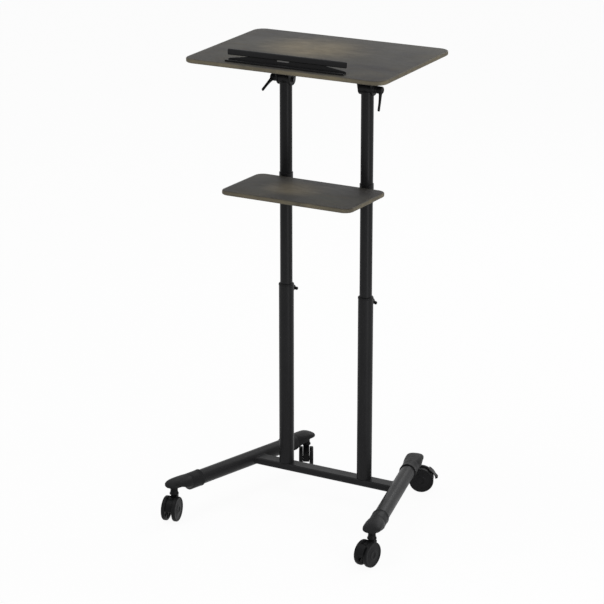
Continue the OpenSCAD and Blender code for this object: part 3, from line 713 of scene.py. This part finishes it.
def socket_screw(bm, at, head_r, head_h, shank_r, shank_l, socket_af):
    """Head towards +Z from 0, shank towards -Z, with a hexagon socket in the head."""
    sides = 4  # points along each side of the hexagon
    hexa = [Vector(corner) for corner in hexagon(socket_af)]
    socket = [hexa[i].lerp(hexa[(i + 1) % 6], k / sides) for i in range(6) for k in range(sides)]
    angles = [2 * pi * i / len(socket) for i in range(len(socket))]

    def around(r, z):
        return [at @ Vector((r * cos(a), r * sin(a), z)) for a in angles]

    rows = [around(shank_r * 0.7, -shank_l), around(shank_r, -shank_l + shank_r * 0.5), around(shank_r, 0),
            around(head_r, 0), around(head_r, head_h * 0.45), around(head_r * 0.93, head_h * 0.8),
            around(head_r * 0.8, head_h)]
    rows += [[at @ Vector((p.x, p.y, z)) for p in socket] for z in (head_h, head_h * 0.25)]
    loft(bm, rows)


def screw_set(name, places, at, body, node, screw):
    bm = bmesh.new()
    for place in places:
        socket_screw(bm, place, **screw)
    piece(name, bm, at, body, BLACK_ZINC, (node,), smooth=40)


def looking_down(x, y, z):
    return Matrix.Translation((x, y, z)) @ DOWN


def post_bolts():
    bm = bmesh.new()
    for side in SIDES.values():
        at = looking_down(side * POST_X, 0, 80)
        plate(bm, hexagon(13), 0.9, 5, at=at)
        lathe(bm, [(0, 0), (8.2, 0), (8.2, 1), (0, 1)], 32, at=at)
        lathe(bm, [(0, -31.5), (BOLT_R, -31.5), (BOLT_R, 0.2), (0, 0.2)], 24, at=at)
    piece("post_bolts_zinc", bm, post_frame(0), "base", ZINC, ("post_bolts",), 0.4, 2)


posts = [side * POST_X for side in SIDES.values()]
arm_pitch = (-19.5 - ARM_FRONT - 52) / 2
screw_set("shelf_screws_black",
          [looking_down(x, ARM_FRONT + 16 + i * arm_pitch, ARM_TOP - SHEET) for x in posts for i in range(3)],
          post_frame(0), "column", "shelf_screws", WOOD_SCREW)
screw_set("ring_screws_black", [Matrix.Translation((x, 25.25, RING_SCREW)) @ ALONG_Y for x in posts],
          post_frame(0), "column", "ring_screws", RING_BOLT)
screw_set("bracket_screws_black",
          [looking_down(x + off, y, UNDERSIDE - SHEET)
           for x in posts for off in (-11, 11) for y in (12 - BRACKET_HALF, BRACKET_HALF - 12)],
          TOP, "top", "bracket_screws", WOOD_SCREW)
screw_set("ledge_screws_black",
          [looking_down(x, LEDGE_FRONT + 8.5, UNDERSIDE) for x in (-160, -31.5, 31.5, 160)],
          TOP, "top", "ledge_screws", {**WOOD_SCREW, "shank_l": 14.6})
post_bolts()
print("screws and bolts in place")

# %% [markdown]
# Sleeve bushings and lock knobs
# A plastic bushing is pressed into the top of each outer sleeve so that the inner tube slides without rattling.
# Its rolled lip is the dark ring at the joint. The lock knob behind it is a moulded wing with a steel stud:
# the hand turns the wing and the stud's end presses the inner tube.

# %% Bushings and knobs
SLEEVE_TOP = 629.0
BUSHING_BORE, BUSHING_R, BUSHING_DEEP = 17.33, 19.4, 53
KNOB_TURN = {"left": 3.0, "right": 15.0}
# Half of the wing, in mm: place along it, half its height and its depth
KNOB_WING = ((-17, 2.2, 5.0), (-16.6, 3.4, 6.8), (-15.2, 4.3, 8.0), (-12.5, 4.6, 8.4), (-9, 3.9, 8.6),
             (-4, 3.5, 9.2), (0, 3.5, 9.6))


def bushing(hand):
    bm = bmesh.new()
    inside = [(BUSHING_BORE, -BUSHING_DEEP), (BUSHING_R, -BUSHING_DEEP), (BUSHING_R, 0)]
    lip = [(21.4, 0), (21.7, 0.5), (21.7, 3.2), (21.2, 4.6), (20.3, 5.6), (19.2, 6), (17.8, 6), (BUSHING_BORE, 5.4)]
    lathe(bm, [(radius, SLEEVE_TOP + rise) for radius, rise in inside + lip], 64, ring=True)
    piece(f"sleeve_bushing_{hand}_moulded", bm, post_frame(SIDES[hand]), "base", CAP_PLASTIC,
          (f"sleeve_bushing_{hand}",))


def knob(hand):
    bm = bmesh.new()
    lathe(bm, [(4.05, 27.5), (8.9, 27.5), (9.5, 28.2), (9.3, 33), (8.2, 38.4), (7.4, 40.5), (6.8, 41.6), (5.4, 42),
               (5.0, 41.3), (0, 41.3)], 40, at=ALONG_Y)
    lathe(bm, [(0, 17.7), (3.1, 17.7), (BOLT_R, 18.6), (BOLT_R, 28), (0, 28)], 24, at=ALONG_Y)
    rows = []
    for x, half, deep in KNOB_WING:
        section = rounded(-half, half, 34.2 - deep / 2, 34.2 + deep / 2, min(half, deep / 2) * 0.8, 5)
        rows.append([Vector((x, y, z)) for z, y in section])
    rows += [[Vector((-p.x, p.y, p.z)) for p in row] for row in reversed(rows[:-1])]
    loft(bm, rows)
    turn = Matrix.Rotation(radians(KNOB_TURN[hand]), 4, "Y")
    piece(f"lock_knob_{hand}_moulded", bm, post_frame(SIDES[hand], KNOB_HEIGHT) @ turn,
          f"knob_{hand}", HANDLE_PLASTIC, (f"lock_knob_{hand}",), 0.4, 2)


for name in SIDES:
    bushing(name)
    knob(name)
print("bushings and knobs")

# %% [markdown]
# End caps
# Each leg ends in a moulded cap. A sleeve grips the tube, then the cap widens into a low head
# over the caster, with a flat underside and a blunt, rounded nose.
# A row of cross-sections makes this well. Each one is a superellipse, a circle that can be made
# more square, so the same rule gives the round sleeve and the flat head.

# %% End caps
CAP_R, LEG_R, LEG_BORE = 23.5, 21.0, 19.4
CAP_OPEN, CAP_STEP, CAP_TIP = -98.0, -53.0, 24.0
HEAD_FLOOR = 3.2
NOSE_LENGTH = 27.0
NOSE_WIDE, NOSE_TALL = 2.45, 1.7  # how blunt the nose is seen from above and from the side
SECTION_POINTS = 56

# How the head changes along the leg: distance from the stem, then the value in millimetres
HALF_WIDTH = ((-53, 23.35), (-46, 24.5), (-38, 25.8), (-28, 26.3), (-16, 25.8), (-3, 25.3), (30, 25.3))
CROWN = ((-53, 23.35), (-44, 23.1), (-34, 22.6), (-22, 22.2), (-8, 21.2), (4, 20.0), (30, 19.6))
BELLY = ((-53, -22.6), (-51.5, -20.0), (-49, -16.2), (-45, -11.6), (-39, -7.4), (-31, -4.2), (-20, -0.8),
         (-10, 2.4), (-3, HEAD_FLOOR), (30, HEAD_FLOOR))
# Where the cross-sections stand: along the head, and by angle round the nose so that they crowd at its tip
HEAD_STATIONS = (-52.8, -51.8, -50.5, -49, -47, -44.5, -41.5, -38, -34, -30, -26, -22, -18, -14, -10, -6)
NOSE_ANGLES = (1, 9, 18, 27, 36, 44, 51, 58, 64, 69, 74, 78, 81.5, 84.5, 87, 88.8)


def follow(points, t):
    """A smooth curve through (place, value) points, flat beyond its ends."""
    if t <= points[0][0]:
        return points[0][1]
    for i in range(len(points) - 1):
        (t0, v0), (t1, v1) = points[i], points[i + 1]
        if t <= t1:
            before, after = points[max(i - 1, 0)], points[min(i + 2, len(points) - 1)]
            rise0 = (v1 - before[1]) / (t1 - before[0]) * (t1 - t0)
            rise1 = (after[1] - v0) / (after[0] - t0) * (t1 - t0)
            u = (t - t0) / (t1 - t0)
            return ((2 * u ** 3 - 3 * u ** 2 + 1) * v0 + (u ** 3 - 2 * u ** 2 + u) * rise0
                    + (3 * u ** 2 - 2 * u ** 3) * v1 + (u ** 3 - u ** 2) * rise1)
    return points[-1][1]


def head_section(t):
    """A closed loop across the head at distance t from the stem."""
    blend = min(1.0, (t - CAP_STEP) / 24.0)
    half, crown, belly = follow(HALF_WIDTH, t), follow(CROWN, t), follow(BELLY, t)
    into_nose = max(0.0, (t - CAP_TIP + NOSE_LENGTH) / NOSE_LENGTH)
    half *= max(0.0, 1 - into_nose ** NOSE_WIDE) ** (1 / NOSE_WIDE)
    crown = 8.0 + (crown - 8.0) * max(0.0, 1 - into_nose ** NOSE_TALL) ** (1 / NOSE_TALL)
    seam = max(0.0, belly + 4.2 * blend)
    upper, lower = 2 + 0.5 * blend, 2 + 3.0 * blend
    loop = []
    for i in range(SECTION_POINTS):
        angle = 2 * pi * i / SECTION_POINTS - pi / 2
        x, z = cos(angle), sin(angle)
        power = upper if z > 0 else lower
        tall = crown - seam if z > 0 else seam - belly
        height = seam + tall * copysign(abs(z) ** (2 / power), z)
        if t < -20:
            height = max(height, belly)
        loop.append(Vector((half * copysign(abs(x) ** (2 / power), x), t, height)))
    return loop


def sleeve_section(t, radius):
    angles = [2 * pi * i / SECTION_POINTS - pi / 2 for i in range(SECTION_POINTS)]
    return [Vector((radius * cos(a), t, radius * sin(a))) for a in angles]


def end_cap(hand, end):
    bm = bmesh.new()
    bore = [(CAP_STEP - 3, 20.0), (CAP_STEP - 3.1, LEG_R + 0.02), (CAP_OPEN + 1.2, LEG_R + 0.02)]
    rim = [(0, 21.9), (0, 23.4), (0.7, 24.1), (3.2, 24.1), (4.0, 23.75), (4.4, CAP_R)]
    sleeve = [(-80, CAP_R), (-64, CAP_R), (CAP_STEP - 1.0, CAP_R), (CAP_STEP - 0.35, CAP_R - 0.15)]
    rows = [sleeve_section(t, radius) for t, radius in bore + [(CAP_OPEN + t, radius) for t, radius in rim] + sleeve]
    rows += [head_section(t) for t in HEAD_STATIONS]
    nose = CAP_TIP - NOSE_LENGTH
    rows += [head_section(nose + NOSE_LENGTH * sin(radians(angle))) for angle in NOSE_ANGLES]
    loft(bm, rows)
    piece(f"{end}_cap_{hand}_moulded", bm, cap_frame(hand, end), "base", CAP_PLASTIC,
          (f"{end}_cap_{hand}",), smooth=52)


def leg_tube(hand):
    """The leg between its two caps, a plain tube that ends where the heads of the caps begin."""
    length = (stem_place(f"rear_{hand}") - stem_place(f"front_{hand}")).length * 1000
    first, last = -length - CAP_STEP + 3.2, CAP_STEP - 3.2
    bm = bmesh.new()
    wall = [(LEG_BORE, first), (LEG_R, first), (LEG_R, last), (LEG_BORE, last)]
    lathe(bm, wall, 72, ring=True, at=ALONG_Y)
    piece(f"leg_tube_{hand}", bm, cap_frame(hand, "rear"), "base", COAT,
          (f"leg_{hand}",))


for name in SIDES:
    leg_tube(name)
    for end in ("front", "rear"):
        end_cap(name, end)
print("two leg tubes and four end caps")

# %% [markdown]
# Weld beads
# The crossbar is coped to the round legs and welded all round. A bead is a chain of small overlapping puddles,
# about one every 2.5 mm, so a closed tube with a gentle ripple is swept along the joint and covered by the coat.

# %% Weld beads
BEAD_R, PUDDLE = 1.5, 2.5
BAR_HALF, BAR_LOW, BAR_HIGH = 21.5, 80, 100


def weld_bead(name, path, radius, body):
    """A rippled bead along a closed path of points in millimetres."""
    bm = bmesh.new()
    rows = []
    for i, point in enumerate(path):
        along = (path[(i + 1) % len(path)] - path[i - 1]).normalized()
        beside = along.orthogonal() if abs(along.x) > 0.9 else Vector((1, 0, 0)).cross(along)
        side = beside.normalized()
        up = along.cross(side)
        ripple = radius * (1.0 + (0.14 if i % 2 else -0.04))
        rows.append([point + side * ripple * cos(a) + up * ripple * sin(a)
                     for a in (2 * pi * k / 8 for k in range(8))])
    made = loft(bm, rows, closed=False)
    for i in range(8):
        j = (i + 1) % 8
        bm.faces.new((made[-1][i], made[-1][j], made[0][j], made[0][i]))
    return piece(name, bm, post_frame(0), body, COAT, smooth=80)


def cope_path(side):
    """Where the crossbar's rounded outline meets the round leg tube."""
    front, rear = stem_place("front_right"), stem_place("rear_right")
    splay = (front.x - rear.x) / (rear.y - front.y)
    leg_x = 1000 * (front.x - splay * (POST_Y - front.y))
    dense = []
    outline = rounded(-BAR_HALF, BAR_HALF, BAR_LOW, BAR_HIGH, 6, 6)
    for (y0, z0), (y1, z1) in zip(outline, outline[1:] + outline[:1]):
        steps = max(1, round(hypot(y1 - y0, z1 - z0) / PUDDLE))
        dense += [(y0 + (y1 - y0) * k / steps, z0 + (z1 - z0) * k / steps) for k in range(steps)]
    path = []
    for y, z in dense:
        reach = sqrt(max(0.0, LEG_R ** 2 - (z - LEG_AXIS) ** 2)) * hypot(1, splay)
        path.append(Vector((side * (leg_x - splay * y - reach), y, z)))
    return path


for name, side in SIDES.items():
    weld_bead(f"weld_bead_{name}", cope_path(side), BEAD_R, "base")
print("weld beads on both copes")

# %% [markdown]
# Twin-wheel casters
# This is the piece that takes the most skill. A nylon body stands between two narrow wheels.
# Its neck turns on a zinc pin, the axle lies 20 mm behind the pin so that the caster trails,
# and the wheels' whole round outline shows because the body is smaller than they are.
# The wheels are turned on the lathe with a tread, a rolled rim, a dished face with two fine rings and a hub,
# and inside they carry ribs, because moulded wheels are thin shells stiffened that way.

# %% Wheels
WHEEL_WIDTH, HALF_OVER = 11.0, 21.0
WHEEL_RIBS = 8
# Half a section of a wheel, as radius and distance from its inner face
WHEEL_PROFILE = [
    (4.08, 9.5), (4.08, 0.0), (9.0, 0.0), (10.0, 0.7), (10.2, 2.6), (27.4, 2.6), (28.3, 1.2), (29.2, 0.2),
    (33.1, 0.0), (34.1, 0.3), (34.7, 0.9), (35.0, 1.9), (35.0, 7.6), (34.8, 8.8), (34.3, 9.8), (33.5, 10.5),
    (32.6, 10.9), (31.2, 11.0), (30.7, 10.8), (30.3, 10.2), (29.8, 9.7), (29.0, 9.5), (23.8, 9.8), (23.3, 9.5),
    (22.7, 9.5), (22.2, 9.85), (14.4, 10.2), (13.6, 10.3), (13.1, 10.6), (12.6, 10.9), (12.0, 11.0),
    (8.6, 11.0), (7.9, 10.8), (7.5, 10.3), (7.0, 9.8), (6.4, 9.6), (0.0, 9.6)]


def on_axle(face, out=0.0):
    """The lathe's Z along the axle, pointing to one face of the caster, so far out from its middle."""
    return (Matrix.Translation((TRAIL, face * out, WHEEL_R))
            @ Matrix.Rotation(radians(-90 * face), 4, "X"))


def wheel(where, letter):
    bm = bmesh.new()
    turn = on_axle(-1 if letter == "a" else 1, HALF_OVER - WHEEL_WIDTH)
    lathe(bm, WHEEL_PROFILE, 84, at=turn)
    for i in range(WHEEL_RIBS):
        rib = [(9.6, -0.8), (28.0, -0.7), (28.0, 0.7), (9.6, 0.8)]
        plate(bm, rib, 0.6, 3.0, at=turn @ Matrix.Rotation(2 * pi * i / WHEEL_RIBS, 4, "Z"))
    name = f"wheel_{where}_{letter}"
    piece(name + "_moulded", bm, caster_frame(where), name, WHEEL_NYLON, (name,), smooth=26)


# %% Caster bodies
CORE_R, CORE_HALF, NECK_R = 31.0, 9.2, 10.6
BOSS_R, AXLE_R, PIN_BORE = 7.0, 4.0, 5.1
PEDAL_SLOT = 4.7
CAP_UNDER = LEG_AXIS + HEAD_FLOOR
NECK_TOP = 91.6
PIVOT_X, PIVOT_Z = TRAIL + 0.47 * WHEEL_R, WHEEL_R + 0.65 * WHEEL_R
BRAKED = {"front_right": "front", "rear_right": "rear"}
NECK_PROFILE = [
    (PIN_BORE, 64), (8.9, 64), (9.1, 68.2), (12.2, 70.9), (12.9, 71.6), (12.9, 73.6), (12.4, 75.4),
    (NECK_R, 78.6), (NECK_R, 83.6), (NECK_R - 0.6, 84.1), (NECK_R - 0.6, 85.1), (NECK_R, 85.6), (NECK_R, 89.4),
    (NECK_R - 0.5, 90.5), (NECK_R - 1.5, 91.3), (NECK_R - 2.4, NECK_TOP), (PIN_BORE, NECK_TOP)]


def core_outline(pedal_cut):
    """Side view of the body between the wheels, from its trailing lower corner, anticlockwise."""
    stop = 180 - degrees(acos((TRAIL - NECK_R + 0.3) / CORE_R))
    floor, toe = WHEEL_R - 0.9, TRAIL - CORE_R + 9.5
    outline = [(TRAIL + CORE_R - 2.6, floor), (TRAIL + CORE_R - 0.4, floor + 1.8)]
    if pedal_cut:
        outline += arc(TRAIL, WHEEL_R, CORE_R, 3.5, 26, 8)
        outline += [(PIVOT_X + 9, PIVOT_Z - 8.9), (PIVOT_X - 5, PIVOT_Z - 8.9), (PIVOT_X - 6.5, PIVOT_Z - 5),
                    (PIVOT_X - 6.5, PIVOT_Z + 5.6)] + arc(TRAIL, WHEEL_R, CORE_R, 74, stop, 8)
    else:
        outline += arc(TRAIL, WHEEL_R, CORE_R, 3.5, stop, 26)
    outline += [(NECK_R - 0.5, 66.5), (-NECK_R + 0.5, 66.5), (-NECK_R + 0.2, 65), (-NECK_R + 0.2, 43),
                (-NECK_R + 1.6, 41.6), (toe, 41.6), (toe, floor + 1), (toe + 1, floor), (TRAIL - 6.7, floor)]
    return outline + arc(TRAIL, WHEEL_R, BOSS_R - 0.1, 190, 350, 12) + [(TRAIL + 6.7, floor)]


def housing(where):
    bm = bmesh.new()
    if where in BRAKED:
        for low, high in ((-CORE_HALF, 0.1 - PEDAL_SLOT), (PEDAL_SLOT - 0.1, CORE_HALF)):
            plate(bm, core_outline(False), low, high, at=UPRIGHT)
        plate(bm, core_outline(True), -PEDAL_SLOT, PEDAL_SLOT, at=UPRIGHT)
    else:
        plate(bm, core_outline(False), -CORE_HALF, CORE_HALF, at=UPRIGHT)
    boss = [(AXLE_R + 0.2, CORE_HALF - 0.1), (BOSS_R, CORE_HALF - 0.1), (BOSS_R, CORE_HALF + 0.5),
            (AXLE_R + 0.2, CORE_HALF + 0.5)]
    for face in (-1, 1):
        lathe(bm, boss, 32, ring=True, at=on_axle(face))
    lathe(bm, NECK_PROFILE, 56, ring=True)
    body = f"swivel_{where}"
    piece(f"caster_body_{where}", bm, caster_frame(where), body, CASTER_NYLON,
          (f"housing_{where}",), 0.8, 3)
    bm = bmesh.new()
    rod = [(0, 19.2), (AXLE_R - 0.5, 19.2), (AXLE_R, 18.7)]
    lathe(bm, [(radius, -out) for radius, out in rod] + rod[::-1], 32, at=on_axle(1))
    piece(f"caster_axle_{where}", bm, caster_frame(where), body, ZINC, (f"axle_{where}",))


# %% [markdown]
# Stems and brake pedals
# The stem is one turned piece of zinc-plated steel: a shank in the cap, a collar and a pin in the caster's neck.
# Only the collar shows, as the bright spot between cap and neck.
# The brake pedal is a moulded shell hinged in the body. A band hugs both wheels and ends in a tongue for the foot,
# with three grip bars on it. Pressing the tongue brings the band down on the wheels.

# %% Stems and pedals
STEM_PROFILE = [
    (0, 61.2), (4.2, 61.2), (4.95, 62.0), (4.95, NECK_TOP + 0.3), (7.2, NECK_TOP + 0.4), (7.6, NECK_TOP + 0.8),
    (7.6, CAP_UNDER - 0.6), (7.2, CAP_UNDER - 0.1), (5.5, CAP_UNDER), (5.5, 104.8), (4.6, 105.5), (0, 105.5)]
BAND_LOW, BAND_HIGH, BAND_THICK = 17.0, 55.5, 1.9
TONGUE_END, TONGUE_CORNER = 47.3, 8.0
PEDAL_HALF = 13.4
HALF_STATIONS = (0, 4.6, 7.2, 9.6, 11.4, 12.6, 13.25, PEDAL_HALF)
LUG_HALF = 4.2


def stem(where):
    bm = bmesh.new()
    lathe(bm, STEM_PROFILE, 48)
    piece(f"caster_stem_{where}", bm, caster_frame(where), "base", ZINC, (f"stem_{where}",))


def band_radius(angle):
    """Inner radius of the band, which leans away from the wheels where it swings in most."""
    return WHEEL_R + 3.1 + 2.6 * (BAND_HIGH - angle) / (BAND_HIGH - BAND_LOW)


def band_side(angles, more):
    return [arc(0, 0, band_radius(a) + more, a, a, 1)[0] for a in angles]


def tongue_reach(across):
    """How far the tongue's rounded end goes, seen from above, at a distance from its middle line."""
    past = max(0.0, abs(across) - (PEDAL_HALF - TONGUE_CORNER))
    return TONGUE_END - TONGUE_CORNER + sqrt(max(0.0, TONGUE_CORNER ** 2 - past ** 2))


def pedal(where):
    """Drawn from the axle: a thin curved sheet, then the tongue, swept across the caster."""
    end = BRAKED[where]
    angles = [BAND_LOW + (BAND_HIGH - BAND_LOW) * i / 12 for i in range(13)]
    over = [(42.2, 12.0), (43.9, 10.9), (45.4, 9.7), (46.7, 8.5), (TONGUE_END, 7.4)]
    under = [(47.0, 6.5), (46.2, 6.1), (44.2, 7.3), (42.2, 8.6), (40.2, 10.4)]
    outline = band_side(reversed(angles), BAND_THICK) + over + under + band_side(angles, 0)
    bm = bmesh.new()
    rows = []
    for across in [-a for a in reversed(HALF_STATIONS[1:])] + list(HALF_STATIONS):
        limit = tongue_reach(across)
        rows.append([Vector((min(x, limit) if z < 12.1 else x, across, z)) for x, z in outline])
    loft(bm, rows)
    for x in (42.9, 44.4, 45.9):
        height = 12.0 - 0.72 * (x - 42.2)
        plate(bm, rounded(x - 0.4, x + 0.4, -8.2, 8.2, 0.35, 3), height - 1.4, height + 0.3)
    hinge = Matrix.Translation((PIVOT_X - TRAIL, 0, PIVOT_Z - WHEEL_R))
    for radius, half, steps in ((2.45, 9.0, 20), (5.9, LUG_HALF, 32)):
        lathe(bm, [(0, -half), (radius, -half), (radius, half), (0, half)], steps, at=hinge @ ALONG_Y)
    arm = [(5, -3.0), (13.5, -3.8), (17.6, -1.6), (12.4, 5.3), (7.8, 9.3), (3.5, 10.4), (-3, 4)]
    plate(bm, arm, -LUG_HALF, LUG_HALF, at=hinge @ UPRIGHT)
    at = caster_frame(where) @ Matrix.Translation((TRAIL, 0, WHEEL_R))
    piece(f"brake_pedal_{end}_moulded", bm, at, f"pedal_{end}", CASTER_NYLON,
          (f"brake_pedal_{end}",), 0.35, 2)


for where in CASTERS:
    stem(where)
    housing(where)
    for letter in "ab":
        wheel(where, letter)
for where in BRAKED:
    pedal(where)
print("four casters, eight wheels and two pedals")

# %% [markdown]
# Floor and light
# The photograph was taken in a white sweep: no horizon, and only a trace of shadow.
# The floor is a pale sheet that answers the camera with white, so the light can stay gentle on the object,
# while a part of it stays an honest surface that takes the desk's soft shadow.

# %% Floor
FLOOR_GLOW = 0.94
FLOOR_HALF = 14.0
WHITE = paint("#ffffff")


def floor():
    bm = bmesh.new()
    bmesh.ops.create_grid(bm, x_segments=2, y_segments=2, size=FLOOR_HALF)
    mesh = bpy.data.meshes.new("studio_floor")
    bm.to_mesh(mesh)
    bm.free()
    material, tree, shader = new_material("white_studio_paper", "#f4f4f4", 0.9, shine=0.0)
    glow = add(tree, "Emission", Color=WHITE, Strength=1.0)
    share = add(tree, "Math", {"operation": "MULTIPLY"}, i0=shown_rays(tree), i1=FLOOR_GLOW)
    mixed = add(tree, "MixShader", i0=share.outputs[0], i1=shader.outputs[0], i2=glow.outputs[0])
    feed(tree, tree.nodes["Material Output"], Surface=mixed.outputs[0])
    mesh.materials.append(material)
    sheet = stand("studio_floor", mesh)


floor()
print("white floor, answering the camera with", FLOOR_GLOW, "of its own white")

# %% [markdown]
# Lamps
# A large soft box overhead, a little to the left, is the key. A weak one on the right and one behind round off
# the edges, and a narrow strip near the floor puts the long soft highlight on the upright tubes, a little right
# of their middle: seen from above, upright tubes mirror what is low.

# %% Lamps and world
SKY_LIGHT, SKY_SHOWN = 0.55, 1.0


def soft_box(name, place, target, size, power):
    light = bpy.data.lights.new(name, "AREA")
    light.shape = "RECTANGLE"
    light.size, light.size_y = size
    light.energy = power
    lamp = stand(name, light)
    lamp.location = place
    lamp.rotation_euler = (Vector(target) - Vector(place)).to_track_quat("-Z", "Y").to_euler()


soft_box("key_overhead", (-1.5, -1.3, 4.6), (0, 0, 0.8), (2.4, 2.4), 42)
soft_box("side_right", (3.9, -2.2, 1.6), (0, 0, 0.7), (1.0, 3.0), 34)
soft_box("low_strip_right", (1.75, -0.95, 0.42), (0, 0, 0.62), (0.3, 0.8), 7)
soft_box("back_rim", (0.6, 3.6, 2.8), (0, 0, 0.9), (2.6, 1.4), 45)

world = bpy.data.worlds.new("studio_air")
bpy.context.scene.world = world
world.use_nodes = True
air = world.node_tree
air.nodes.clear()
lit = add(air, "Background", Color=WHITE, Strength=SKY_LIGHT)
shown = add(air, "Background", Color=WHITE, Strength=SKY_SHOWN)
sky = add(air, "MixShader", i0=shown_rays(air), i1=lit.outputs[0], i2=shown.outputs[0])
add(air, "OutputWorld", Surface=sky.outputs[0])
bpy.context.scene.view_settings.view_transform = "Standard"
print("four soft boxes and an even sky")

# %% [markdown]
# Camera
# The photograph was taken from the front right, a little above the shelf, with a long lens.
# Its place was solved from the straight edges of the boards and tubes, so the frame matches the photograph.

# %% Camera
view = bpy.data.cameras.new("photo_view")
view.sensor_width = 36.0
view.lens = 139.52
view.clip_end = 60.0
eye = stand("photo_view", view)
eye.location = (2.99293, -5.33028, 2.59619)
eye.rotation_euler = (radians(90 - 17.95), 0.0, radians(29.64))
bpy.context.scene.camera = eye
print("lens", view.lens, "mm")
